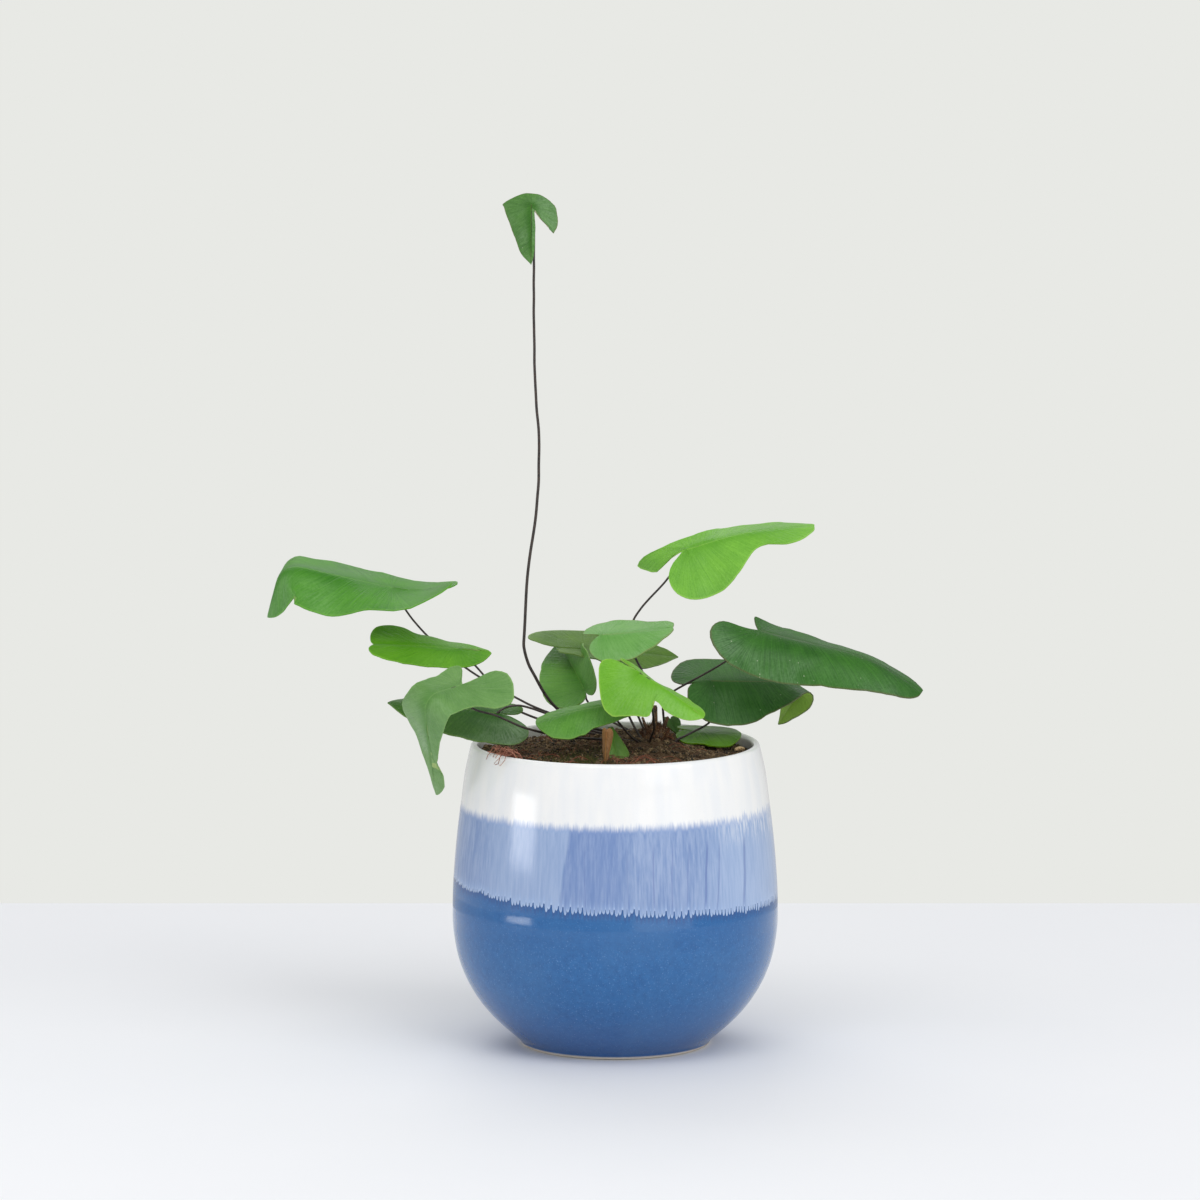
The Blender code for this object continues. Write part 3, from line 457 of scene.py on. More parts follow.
def leaf_flesh_group():
    """Green of a leathery leaf: fine streaks from rib to margin, soft blotches, thin pale margin and rib, painted
    shade toward the rib and painted sheen in pale patches where the blade tilts.
    """
    tree, n, given, out = new_group(
        "leaf_flesh",
        [("Flow", "Vector", None), ("Light", "Color", (0.2, 0.5, 0.1, 1)), ("Dark", "Color", (0.05, 0.2, 0.05, 1)),
         ("Margin", "Color", (0.3, 0.5, 0.1, 1)), ("Streaks", "Float", 0.5), ("Speckles", "Float", 0.1),
         ("Painted Sheen", "Float", 0.5), ("Tilt", "Float", 0.3)],
        [("Color", "Color"), ("Roughness", "Float"), ("Height", "Float")])
    place = n.put("ShaderNodeTexCoord").outputs["Object"]
    parts = n.put("ShaderNodeSeparateXYZ")
    n.feed(parts.inputs[0], given.outputs["Flow"])
    across, outward = parts.outputs[0], parts.outputs[1]
    veins = n.noise(n.stretch(given.outputs["Flow"], (9.0, 0.9, 1.0)), 1.0, 3.0, 0.6, 0.3)
    fine = n.noise(n.stretch(given.outputs["Flow"], (26.0, 2.2, 1.0)), 1.0, 2.0, 0.6)
    blotch = n.noise(place, 55.0, 3.0, 0.55)
    cells = n.noise(place, 900.0, 2.0, 0.6)
    tone = n.math("MULTIPLY_ADD", n.math("SUBTRACT", veins, 0.5), given.outputs["Streaks"], 0.5)
    tone = n.math("MULTIPLY_ADD", n.math("SUBTRACT", fine, 0.5), n.math("MULTIPLY", given.outputs["Streaks"], 0.6), tone)
    tone = n.math("MULTIPLY_ADD", n.math("SUBTRACT", blotch, 0.5), 1.1, tone)
    tone = n.math("MULTIPLY_ADD", n.math("SUBTRACT", cells, 0.5), 0.35, tone, clamp=True)
    color = n.mix(tone, given.outputs["Dark"], given.outputs["Light"])
    # Painted shade: the blade turns darker toward the rib, as in the shaded valley along it.
    color = n.mix(n.ramp(outward, 0.5, 0.02, 0.0, 0.4), color, given.outputs["Dark"])
    # Painted sheen: pale grey-green patches on the outer, steeper parts of the blade, broken up by the fine grain.
    swell = n.noise(place, 30.0, 2.0, 0.5, 0.4)
    painted_sheen = n.math("MULTIPLY", n.ramp(swell, 0.4, 0.58, 0.35, 1.0), n.ramp(outward, 0.06, 0.4))
    painted_sheen = n.math("MULTIPLY", painted_sheen, n.ramp(given.outputs["Tilt"], 0.1, 0.55))
    grain = n.ramp(n.math("ADD", fine, n.math("MULTIPLY", cells, 0.5)), 0.55, 0.95, 0.35, 1.0)
    painted_sheen = n.math("MULTIPLY", n.math("MULTIPLY", painted_sheen, grain), given.outputs["Painted Sheen"])
    sheen_tint = n.mix(0.6, given.outputs["Light"], linear(190, 210, 188))
    color = n.mix(painted_sheen, color, sheen_tint)
    rib = n.ramp(outward, 0.0, 0.035, 1.0, 0.0)
    color = n.mix(n.math("MULTIPLY", rib, 0.35), color, given.outputs["Margin"])
    rim = n.ramp(outward, 0.955, 0.995)
    color = n.mix(n.math("MULTIPLY", rim, 0.55), color, given.outputs["Margin"])
    dots = n.put("ShaderNodeTexVoronoi")
    n.feed(dots.inputs["Vector"], place)
    dots.inputs["Scale"].default_value = 420.0
    dot = n.ramp(dots.outputs["Distance"], 0.05, 0.16, 1.0, 0.0)
    pick = n.ramp(n.noise(place, 210.0, 1.0), 0.56, 0.62)
    dot = n.math("MULTIPLY", n.math("MULTIPLY", dot, pick), given.outputs["Speckles"])
    color = n.mix(dot, color, linear(206, 214, 186))
    n.feed(out.inputs["Color"], color)
    n.feed(out.inputs["Roughness"], n.ramp(blotch, 0.3, 0.7, 0.34, 0.5))
    height = n.math("MULTIPLY_ADD", veins, 0.7, n.math("MULTIPLY", cells, 0.35))
    n.feed(out.inputs["Height"], height)
    return tree


def leaf_finish(name, flesh, light, dark, margin, streaks=0.5, speckles=0.06, painted_sheen=0.5, rough=None):
    """Material of one leaf's upper or lower face."""
    material, n, shader = new_material(name)
    group = n.put("ShaderNodeGroup", node_tree=flesh)
    flow = n.put("ShaderNodeUVMap", uv_map="flow")
    n.feed(group.inputs["Flow"], flow.outputs[0])
    tilt = n.put("ShaderNodeAttribute", attribute_name="tilt")
    n.feed(group.inputs["Tilt"], tilt.outputs["Fac"])
    group.inputs["Light"].default_value = linear(*light)
    group.inputs["Dark"].default_value = linear(*dark)
    group.inputs["Margin"].default_value = linear(*margin)
    group.inputs["Streaks"].default_value = streaks
    group.inputs["Speckles"].default_value = speckles
    group.inputs["Painted Sheen"].default_value = painted_sheen
    n.feed(shader.inputs["Base Color"], group.outputs["Color"])
    if rough is None:
        n.feed(shader.inputs["Roughness"], group.outputs["Roughness"])
    else:
        shader.inputs["Roughness"].default_value = rough
    shader.inputs["Specular IOR Level"].default_value = 0.22
    bump = n.put("ShaderNodeBump")
    bump.inputs["Strength"].default_value = 0.75
    bump.inputs["Distance"].default_value = 0.0005
    n.feed(bump.inputs["Height"], group.outputs["Height"])
    n.feed(shader.inputs["Normal"], bump.outputs[0])
    return material


LOBE_COLUMNS = 16
SIDE_COLUMNS = 34
LEAF_ROWS = 12


def fine_margin(leaf, side, seed):
    """Margin of one wing in fine steps, with the small unevenness of a grown edge."""
    margin = heart_margin(leaf, side, LOBE_COLUMNS, SIDE_COLUMNS)
    length = 0.0
    result = []
    last = margin[0]
    for i, (x, y, start) in enumerate(margin):
        length += math.hypot(x - last[0], y - last[1])
        last = (x, y)
        ease = min(1.0, y / 3.0)
        wave = noise.noise(Vector((length * 0.22, seed, side * 3.0))) * 0.45
        wave += noise.noise(Vector((length * 0.7, seed + 9.0, side * 3.0))) * 0.16
        result.append((x, y + wave * ease, start, length))
    return result


def make_blade(name, leaf, seed, ripple=0.5, thick=0.55):
    """Heart-shaped blade from a grid laid fanwise from the rib to the margin."""
    columns = 2 * (LOBE_COLUMNS + SIDE_COLUMNS)
    bpy.ops.object.select_all(action="DESELECT")
    bpy.ops.mesh.primitive_grid_add(x_subdivisions=columns, y_subdivisions=LEAF_ROWS, size=2)
    blade = bpy.context.object
    blade.name = name
    margins = {side: fine_margin(leaf, side, seed) for side in (1, -1)}
    half_count = columns // 2
    mesh = bmesh.new()
    mesh.from_mesh(blade.data)
    flow = mesh.loops.layers.uv.get("UVMap") or mesh.loops.layers.uv.new("UVMap")
    places = {}
    for vert in mesh.verts:
        i = round((vert.co.x + 1) / 2 * columns) - half_count
        j = round((vert.co.y + 1) / 2 * LEAF_ROWS)
        side = 1 if i < 0 else -1
        x, y, start, length = margins[side][abs(i)]
        t = (j / LEAF_ROWS) ** 1.25
        flat_x = start + (x - start) * t
        flat_y = side * y * t if abs(i) not in (0, half_count) else 0.0
        point = blade_point(leaf, flat_x, flat_y if flat_y else side * 1e-6)
        normal = blade_normal(leaf, flat_x, flat_y)
        lift = ripple * t ** 1.6 * noise.noise(Vector((flat_x * 0.09, flat_y * 0.09, seed * 1.7)))
        lift += 0.12 * t * noise.noise(Vector((flat_x * 0.3, flat_y * 0.3, seed)))
        if flat_x > 0:
            lift -= 0.28 * math.exp(-(flat_y / 1.1) ** 2) * min(1.0, flat_x / 4.0)
        places[vert] = (point + normal * lift) * MM
    for face in mesh.faces:
        for loop in face.loops:
            co = loop.vert.co
            i = round((co.x + 1) / 2 * columns) - half_count
            j = round((co.y + 1) / 2 * LEAF_ROWS)
            side = 1 if i < 0 else -1
            loop[flow].uv = (side * margins[side][abs(i)][3] * 0.1 + seed, (j / LEAF_ROWS) ** 1.25)
    for vert, place in places.items():
        vert.co = place
    bmesh.ops.remove_doubles(mesh, verts=mesh.verts, dist=0.00002)
    mesh.normal_update()
    mesh.to_mesh(blade.data)
    mesh.free()
    blade.data.uv_layers[0].name = "flow"
    settle(blade)
    up = turned(leaf, Vector((0, 0, 1)))
    total = sum((Vector(p.normal) * p.area for p in blade.data.polygons), Vector((0, 0, 0)))
    if total.dot(up) < 0:
        blade.data.flip_normals()
    # Steepness of the surface at each point, which places the painted sheen.
    tilt = blade.data.attributes.new("tilt", "FLOAT", "POINT")
    for vert in blade.data.vertices:
        tilt.data[vert.index].value = 1.0 - abs(vert.normal.z)
    blade.data.materials.append(None)
    blade.data.materials.append(None)
    wall = blade.modifiers.new("leaf_wall", "SOLIDIFY")
    wall.thickness = thick * MM
    wall.offset = 0.0
    wall.material_offset = 1
    wall.material_offset_rim = 0
    select_only(blade)
    bpy.ops.object.modifier_apply(modifier="leaf_wall")
    bpy.ops.object.shade_smooth_by_angle(angle=math.radians(60))
    return blade


def wire(name, path, radii, around=3):
    """Round wire along a path, each point with its own radius."""
    curve = bpy.data.curves.new(name, "CURVE")
    curve.dimensions = "3D"
    curve.bevel_depth = MM
    curve.bevel_resolution = around
    curve.use_fill_caps = True
    strand = curve.splines.new("POLY")
    strand.points.add(len(path) - 1)
    for point, place, radius in zip(strand.points, path, radii):
        point.co = (*[c * MM for c in place], 1.0)
        point.radius = radius
    obj = bpy.data.objects.new(name, curve)
    bpy.context.scene.collection.objects.link(obj)
    select_only(obj)
    bpy.ops.object.convert(target="MESH")
    obj = bpy.context.object
    bpy.ops.object.shade_smooth_by_angle(angle=math.radians(60))
    return obj


def soil_height(x, y):
    return SOIL_EDGE_Z + SOIL_RISE * (1 - (x * x + y * y) / SOIL_RADIUS ** 2)


def rough_ground(x, y):
    """Top of the loose soil with its lumps."""
    lumps = noise.noise(Vector((x * 0.11, y * 0.11, 3.0))) * 1.1 + noise.noise(Vector((x * 0.35, y * 0.35, 8.0))) * 0.7
    mound = 4.0 * math.exp(-((x - 4) ** 2 + (y - 8) ** 2) / 24 ** 2)
    return soil_height(x, y) + mound + lumps - 0.2


def make_stipe(name, leaf, points, seed):
    """Wiry dark stipe from the soil to the back of its blade, running on as the raised rib below the blade."""
    x, y = points[-1]
    ground = soil_height(x, y)
    top = Vector(leaf["joint"]) + turned(leaf, Vector(leaf.get("tail", TAIL)))
    path = [tuple(top)] + [tuple(p) for p in points[:-1]]
    path += [(x, y, ground + 2.4), (x, y, ground + 0.7), (x, y, ground - HOLE_DEPTH + 0.5)]
    steps = 8 * (len(path) - 1)
    course = [Vector(p) for p in curve_through(path, steps)][::-1]
    thick = 1.25 if name == "fertile" else 1.0
    sway = [Vector((noise.noise(Vector((i * 0.25, seed, 0))), noise.noise(Vector((i * 0.25, seed, 5))), 0)) * 0.22
            for i in range(len(course))]
    course = [p + s * min(1.0, i / 6, (len(course) - 1 - i) / 6) for i, (p, s) in enumerate(zip(course, sway))]
    radii = [STIPE_RADIUS * thick * (1.05 - 0.3 * i / steps) for i in range(steps + 1)]
    joint = blade_point(leaf, 0, 0) - blade_normal(leaf, 0, 0) * 0.35
    course.append(Vector(joint))
    radii.append(0.62)
    radii[-2] *= 1.15
    length = leaf["length"]
    for share in (0.06, 0.14, 0.25, 0.38, 0.52, 0.66):
        flat_x = length * share
        course.append(blade_point(leaf, flat_x, 0) - blade_normal(leaf, flat_x, 0) * 0.42)
        radii.append(0.5 * (1 - share) ** 1.6)
    return wire("stipe_" + name, course, radii)


def bristles(name, roots, seed, length=(0.8, 1.6), width=0.07):
    """Many fine hairs as three-sided spikes, each from a place along a way."""
    chance = random.Random(seed)
    points = []
    faces = []
    for place, way in roots:
        way = Vector(way).normalized()
        side = way.orthogonal().normalized()
        other = way.cross(side)
        reach = chance.uniform(*length)
        bend = Vector((chance.uniform(-0.3, 0.3), chance.uniform(-0.3, 0.3), chance.uniform(-0.1, 0.3)))
        first = len(points)
        for k in range(3):
            a = 2 * math.pi * k / 3
            points.append(Vector(place) + (side * math.cos(a) + other * math.sin(a)) * width)
        middle = Vector(place) + way * reach * 0.55
        for k in range(3):
            a = 2 * math.pi * k / 3
            points.append(middle + (side * math.cos(a) + other * math.sin(a)) * width * 0.7)
        points.append(Vector(place) + (way + bend * 0.5).normalized() * reach)
        for k in range(3):
            m = (k + 1) % 3
            faces.append((first + k, first + m, first + 3 + m, first + 3 + k))
            faces.append((first + 3 + k, first + 3 + m, first + 6))
        faces.append((first + 2, first + 1, first))
    data = bpy.data.meshes.new(name)
    data.from_pydata([tuple(c * MM for c in p) for p in points], [], faces)
    data.update()
    obj = bpy.data.objects.new(name, data)
    bpy.context.scene.collection.objects.link(obj)
    return obj


# ---------------------------------------------------------------- pot

def make_pot():
    """Thrown pot: a circle raised ring by ring to the lip and down inside."""
    outline = curve_through(POT_OUTSIDE, 66) + list(POT_LIP) + list(POT_INSIDE)
    bpy.ops.object.select_all(action="DESELECT")
    radius, z = outline[0]
    bpy.ops.mesh.primitive_circle_add(vertices=144, radius=radius * MM, location=(0, 0, z * MM), fill_type="NGON")
    pot = bpy.context.object
    pot.name = "pot_glazed"
    bpy.ops.object.transform_apply(location=True, rotation=True, scale=True)
    bpy.ops.object.mode_set(mode="EDIT")
    bpy.ops.mesh.select_all(action="SELECT")
    bpy.ops.mesh.flip_normals()
    bpy.ops.mesh.select_mode(type="EDGE")
    for new_radius, new_z in outline[1:]:
        bpy.ops.mesh.extrude_edges_move(TRANSFORM_OT_translate={"value": (0, 0, (new_z - z) * MM)})
        share = new_radius / radius
        bpy.ops.transform.resize(value=(share, share, 1), center_override=(0, 0, new_z * MM))
        radius, z = new_radius, new_z
    bpy.ops.mesh.extrude_edges_move(TRANSFORM_OT_translate={"value": (0, 0, 0)})
    bpy.ops.transform.resize(value=(0.5, 0.5, 1), center_override=(0, 0, z * MM))
    bpy.ops.mesh.edge_face_add()
    bpy.ops.mesh.select_all(action="SELECT")
    bpy.ops.mesh.normals_make_consistent(inside=False)
    bpy.ops.object.mode_set(mode="OBJECT")
    bpy.ops.object.shade_smooth_by_angle(angle=math.radians(50))
    return pot


def glaze_finish():
    """Three glazes over each other: white, streaky periwinkle that ends in drips, and mottled deep blue, with a
    painted window reflection on the band.
    """
    material, n, shader = new_material("banded_drip_glaze")
    place = n.put("ShaderNodeTexCoord").outputs["Object"]
    parts = n.put("ShaderNodeSeparateXYZ")
    n.feed(parts.inputs[0], place)
    x = n.math("MULTIPLY", parts.outputs[0], 1000.0)
    y = n.math("MULTIPLY", parts.outputs[1], 1000.0)
    z = n.math("MULTIPLY", parts.outputs[2], 1000.0)
    turn = n.math("MULTIPLY", n.math("ARCTAN2", x, n.math("MULTIPLY", y, -1.0)), 66.0)
    streak = n.noise(n.stretch(place, (780.0, 780.0, 16.0)), 1.0, 3.0, 0.65, 0.15)
    broad = n.noise(n.stretch(place, (150.0, 150.0, 9.0)), 1.0, 2.0, 0.5)
    hair = n.noise(n.stretch(place, (2100.0, 2100.0, 60.0)), 1.0, 1.0, 0.5)
    cloud = n.noise(place, 26.0, 2.0, 0.5)
    fleck = n.noise(place, 1500.0, 2.0, 0.7)
    mottle = n.noise(place, 420.0, 3.0, 0.6)

    # White over periwinkle, feathered downward.
    right = n.ramp(x, 34.0, 60.0)
    feather = n.math("MULTIPLY_ADD", n.math("SUBTRACT", streak, 0.5), n.math("MULTIPLY_ADD", right, 7.0, 5.5), 102.2)
    above = n.math("SUBTRACT", z, feather)
    white_share = n.ramp(above, -2.2, 1.4)
    veil = n.math("MULTIPLY", n.ramp(z, 88.0, 101.0), n.math("MULTIPLY", right, n.ramp(streak, 0.42, 0.62)))
    white_share = n.math("MAXIMUM", white_share, n.math("MULTIPLY", veil, 0.55))

    # Drips: each cell round the pot has a finger with a rounded end.
    cells = n.put("ShaderNodeTexVoronoi", voronoi_dimensions="1D", feature="F1")
    n.feed(cells.inputs["W"], n.math("MULTIPLY", turn, 0.62))
    cells.inputs["Scale"].default_value = 1.0
    cells.inputs["Randomness"].default_value = 0.4
    random_part = n.put("ShaderNodeSeparateColor")
    n.feed(random_part.inputs[0], cells.outputs["Color"])
    d = n.math("DIVIDE", cells.outputs["Distance"], 0.44)
    round_end = n.math("SQRT", n.math("MAXIMUM", n.math("SUBTRACT", 1.0, n.math("MULTIPLY", d, d)), 0.0))
    reach = n.math("MULTIPLY_ADD", random_part.outputs[0], 1.6, 1.9)
    reach = n.math("MULTIPLY", reach, n.ramp(x, -66.0, -25.0, 0.45, 1.0))
    finger = n.math("MULTIPLY", round_end, reach)
    sag = n.math("MULTIPLY", n.math("SUBTRACT", broad, 0.5), 5.0)
    base = n.math("ADD", n.math("MULTIPLY_ADD", x, -0.05, 68.6), n.math("MULTIPLY", sag, 0.6))
    edge = n.math("SUBTRACT", base, finger)
    over = n.math("SUBTRACT", z, edge)
    band_share = n.ramp(over, -0.12, 0.22)

    deep = n.mix(mottle, linear(24, 82, 141), linear(48, 114, 176))
    deep = n.mix(n.ramp(fleck, 0.6, 0.72), deep, linear(88, 136, 190))
    deep = n.mix(n.ramp(fleck, 0.4, 0.28, 0.0, 0.6), deep, linear(24, 58, 112))
    deep = n.mix(n.math("MULTIPLY", n.ramp(z, 34.0, 4.0), 0.5), deep, linear(44, 76, 132))
    deep = n.mix(n.math("MULTIPLY", n.ramp(z, 44.0, 60.0), 0.35), deep, linear(40, 98, 160))
    deep = n.mix(n.math("MULTIPLY", n.ramp(cloud, 0.45, 0.65), 0.22), deep, linear(70, 118, 168))
    halo = n.math("MULTIPLY", n.ramp(over, -3.4, -0.4), 0.62)
    deep = n.mix(halo, deep, linear(46, 78, 136))

    band = n.mix(n.ramp(streak, 0.3, 0.7), linear(112, 140, 188), linear(150, 170, 206))
    band = n.mix(n.math("MULTIPLY", n.ramp(hair, 0.35, 0.75), 0.35), band, linear(130, 153, 198))
    slant = n.math("SUBTRACT", x, n.math("MULTIPLY_ADD", z, 0.14, -33.3))
    front = n.ramp(y, 0.0, -10.0)
    # Painted reflection of a window: a lighter patch on the front left of the band with a slanting edge.
    pale = n.math("MULTIPLY", n.math("MULTIPLY", n.ramp(slant, 0.5, -0.7), n.ramp(x, -60.0, -46.0)), front)
    band = n.mix(n.math("MULTIPLY", pale, 0.5), band, linear(168, 188, 220))
    band = n.mix(n.math("MULTIPLY", n.ramp(x, 28.0, 52.0), 0.5), band, linear(182, 202, 232))
    rich = n.math("MULTIPLY", n.math("MULTIPLY", n.ramp(slant, 0.0, 1.0), n.ramp(x, 8.0, -2.0)), front)
    band = n.mix(n.math("MULTIPLY", rich, 0.35), band, linear(108, 134, 188))
    for line_x, width, depth in ((15.8, 0.5, 0.5), (23.8, 0.45, 0.4), (37.7, 0.6, 0.55), (42.7, 0.5, 0.4),
                                 (54.1, 0.7, 0.5), (-12.5, 0.4, 0.25), (5.2, 0.35, 0.25), (30.4, 0.4, 0.3)):
        wander = n.math("MULTIPLY_ADD", n.math("SUBTRACT", cloud, 0.5), 4.0, line_x)
        away = n.math("ABSOLUTE", n.math("SUBTRACT", x, wander))
        line = n.math("MULTIPLY", n.ramp(away, width, width * 0.3), n.math("MULTIPLY", n.ramp(z, 97.0, 90.0), depth))
        band = n.mix(line, band, linear(84, 108, 170))
    rim_tip = n.math("MULTIPLY", n.ramp(over, 0.0, 0.25), n.ramp(over, 1.6, 0.5))
    band = n.mix(n.math("MULTIPLY", n.ramp(over, 5.0, 0.8), 0.45), band, linear(156, 182, 222))
    band = n.mix(n.math("MULTIPLY", rim_tip, 0.6), band, linear(176, 198, 230))
    white = n.mix(n.ramp(broad, 0.3, 0.7), linear(236, 238, 240), linear(243, 243, 242))
    white = n.mix(n.math("MULTIPLY", n.ramp(fleck, 0.62, 0.74), 0.18), white, linear(206, 210, 214))
    seam = n.math("MULTIPLY", n.ramp(above, -3.5, -0.6), n.ramp(above, 2.2, 0.2))
    color = n.mix(band_share, deep, band)
    color = n.mix(white_share, color, white)
    color = n.mix(n.math("MULTIPLY", seam, 0.16), color, linear(120, 150, 210))
    foot = n.ramp(z, 1.5, 0.7)
    color = n.mix(foot, color, n.mix(mottle, linear(196, 186, 172), linear(222, 214, 202)))
    n.feed(shader.inputs["Base Color"], color)
    n.feed(shader.inputs["Roughness"], n.math("MULTIPLY_ADD", foot, 0.6, n.ramp(mottle, 0.3, 0.7, 0.10, 0.17)))
    shader.inputs["IOR"].default_value = 1.52
    thickness = n.math("MULTIPLY", n.ramp(over, -0.3, 0.9), 0.6)
    thickness = n.math("ADD", thickness, n.math("MULTIPLY", streak, n.math("MULTIPLY", band_share, 0.12)))
    thickness = n.math("MULTIPLY_ADD", mottle, 0.05, thickness)
    thickness = n.math("ADD", thickness, n.math("MULTIPLY", n.math("MULTIPLY", n.ramp(z, 50.0, 57.5), n.ramp(z, 65.0, 58.5)), 2.2))
    bump = n.put("ShaderNodeBump")
    bump.inputs["Strength"].default_value = 0.6
    bump.inputs["Distance"].default_value = 0.0004
    n.feed(bump.inputs["Height"], thickness)
    n.feed(shader.inputs["Normal"], bump.outputs[0])
    return material


# ---------------------------------------------------------------- soil and litter

def make_soil():
    """Bed of loose soil: a disc in rings, lumpy on top, with a skirt inside the pot."""
    bpy.ops.object.select_all(action="DESELECT")
    bpy.ops.mesh.primitive_circle_add(vertices=150, radius=SOIL_RADIUS * MM, fill_type="NGON", location=(0, 0, 0.11))
    bed = bpy.context.object
    bed.name = "soil_bed"
    bpy.ops.object.transform_apply(location=True, rotation=True, scale=True)
    bpy.ops.object.mode_set(mode="EDIT")
    bpy.ops.mesh.select_all(action="SELECT")
    bpy.ops.mesh.extrude_region_move(TRANSFORM_OT_translate={"value": (0, 0, (SOIL_EDGE_Z - 110.0) * MM)})
    for _ in range(46):
        bpy.ops.mesh.inset(thickness=1.22 * MM, depth=0)
    bpy.ops.mesh.merge(type="CENTER")
    bpy.ops.mesh.select_all(action="SELECT")
    bpy.ops.mesh.normals_make_consistent(inside=False)
    bpy.ops.object.mode_set(mode="OBJECT")
    for vert in bed.data.vertices:
        if vert.co.z > 0.115:
            x, y = vert.co.x / MM, vert.co.y / MM
            vert.co.z = rough_ground(x, y) * MM
    bpy.ops.object.shade_smooth_by_angle(angle=math.radians(40))
    return bed


def soil_finish():
    material, n, shader = new_material("dark_potting_soil")
    place = n.put("ShaderNodeTexCoord").outputs["Object"]
    grain = n.noise(place, 900.0, 4.0, 0.7)
    patch = n.noise(place, 45.0, 3.0, 0.6)
    crumb = n.put("ShaderNodeTexVoronoi")
    n.feed(crumb.inputs["Vector"], place)
    crumb.inputs["Scale"].default_value = 700.0
    color = n.mix(n.ramp(grain, 0.34, 0.66), linear(20, 17, 13), linear(108, 90, 66))
    color = n.mix(n.ramp(patch, 0.45, 0.62, 0.0, 0.6), color, linear(96, 70, 50))
    color = n.mix(n.ramp(crumb.outputs["Distance"], 0.1, 0.35, 0.5, 0.0), color, linear(134, 108, 78))
    n.feed(shader.inputs["Base Color"], color)
    shader.inputs["Roughness"].default_value = 0.95
    shader.inputs["Specular IOR Level"].default_value = 0.2
    bump = n.put("ShaderNodeBump")
    bump.inputs["Strength"].default_value = 0.9
    bump.inputs["Distance"].default_value = 0.0008
    n.feed(bump.inputs["Height"], n.math("ADD", grain, crumb.outputs["Distance"]))
    n.feed(shader.inputs["Normal"], bump.outputs[0])
    return material


def mottled_finish(name, first, second, scale, roughness=0.8, third=None, stretch=(1, 1, 1)):
    """Plain natural finish of two or three colours in patches, with a fine bump."""
    material, n, shader = new_material(name)
    place = n.stretch(n.put("ShaderNodeTexCoord").outputs["Object"], stretch)
    patch = n.noise(place, scale, 3.0, 0.6)
    fine = n.noise(place, scale * 6, 3.0, 0.6)
    color = n.mix(n.ramp(patch, 0.35, 0.65), linear(*first), linear(*second))
    if third:
        color = n.mix(n.ramp(fine, 0.52, 0.66), color, linear(*third))
    n.feed(shader.inputs["Base Color"], color)
    n.feed(shader.inputs["Roughness"], n.ramp(fine, 0.3, 0.7, roughness - 0.1, roughness + 0.1))
    bump = n.put("ShaderNodeBump")
    bump.inputs["Strength"].default_value = 0.5
    bump.inputs["Distance"].default_value = 0.0003
    n.feed(bump.inputs["Height"], fine)
    n.feed(shader.inputs["Normal"], bump.outputs[0])
    return material


def scattered(name, template, spots):
    """Copies of one small shape as one mesh: each spot is a place, a size in three ways and a turn."""
    verts = [v.co.copy() for v in template.data.vertices]
    polys = [tuple(p.vertices) for p in template.data.polygons]
    points = []
    faces = []
    for place, size, turn in spots:
        first = len(points)
        c, s = math.cos(turn), math.sin(turn)
        for v in verts:
            x, y, z = v.x * size[0], v.y * size[1], v.z * size[2]
            y, z = y * math.cos(turn * 2) - z * math.sin(turn * 2), y * math.sin(turn * 2) + z * math.cos(turn * 2)
            points.append(((place[0] + x * c - y * s) * MM, (place[1] + x * s + y * c) * MM, (place[2] + z) * MM))
        faces += [tuple(first + k for k in poly) for poly in polys]
    data = bpy.data.meshes.new(name)
    data.from_pydata(points, [], faces)
    data.update()
    obj = bpy.data.objects.new(name, data)
    bpy.context.scene.collection.objects.link(obj)
    return obj


def make_crumbs():
    """Loose crumbs of soil lying on the bed."""
    bpy.ops.object.select_all(action="DESELECT")
    bpy.ops.mesh.primitive_ico_sphere_add(subdivisions=1, radius=1.0)
    template = bpy.context.object
    chance = random.Random(5)
    for v in template.data.vertices:
        v.co *= chance.uniform(0.75, 1.15)
    spots = []
    for _ in range(2600):
        r = 56.6 * math.sqrt(chance.random())
        a = chance.uniform(0, 2 * math.pi)
        x, y = r * math.cos(a), r * math.sin(a)
        s = chance.choice((0.35, 0.45, 0.6, 0.8, 1.15))
        size = tuple(s * chance.uniform(0.7, 1.3) for _ in range(3))
        spots.append(((x, y, rough_ground(x, y) + s * 0.2), size, chance.uniform(0, 6.28)))
    crumbs = scattered("soil_crumbs", template, spots)
    bpy.data.objects.remove(template)
    return crumbs


def make_fibres():
    """Fine reddish root fibres lying on the soil, thicker in a tuft by the crown."""
    chance = random.Random(11)
    parts = []
    for number in range(90):
        if number < 34:
            x, y = chance.gauss(8, 8), chance.gauss(-40, 7)
        elif number < 60:
            x, y = chance.gauss(-34, 10), chance.gauss(-28, 10)
        else:
            r, a = 54 * math.sqrt(chance.random()), chance.uniform(0, 6.28)
            x, y = r * math.cos(a), r * math.sin(a)
        if math.hypot(x, y) > 54:
            continue
        heading = chance.uniform(0, 6.28)
        path = []
        lift = chance.uniform(0.6, 2.4)
        count = 7
        stride = chance.uniform(0.8, 2.0)
        for k in range(count):
            if math.hypot(x, y) > 56.5:
                break
            path.append((x, y, rough_ground(x, y) + 0.35 + lift * math.sin(math.pi * k / (count - 1))))
            heading += chance.uniform(-0.5, 0.5)
            x += stride * math.cos(heading)
            y += stride * math.sin(heading)
        if len(path) > 3:
            parts.append(wire("fibre", path, [chance.uniform(0.09, 0.17)] * len(path), 0))
    return joined("soil_fibres", parts)


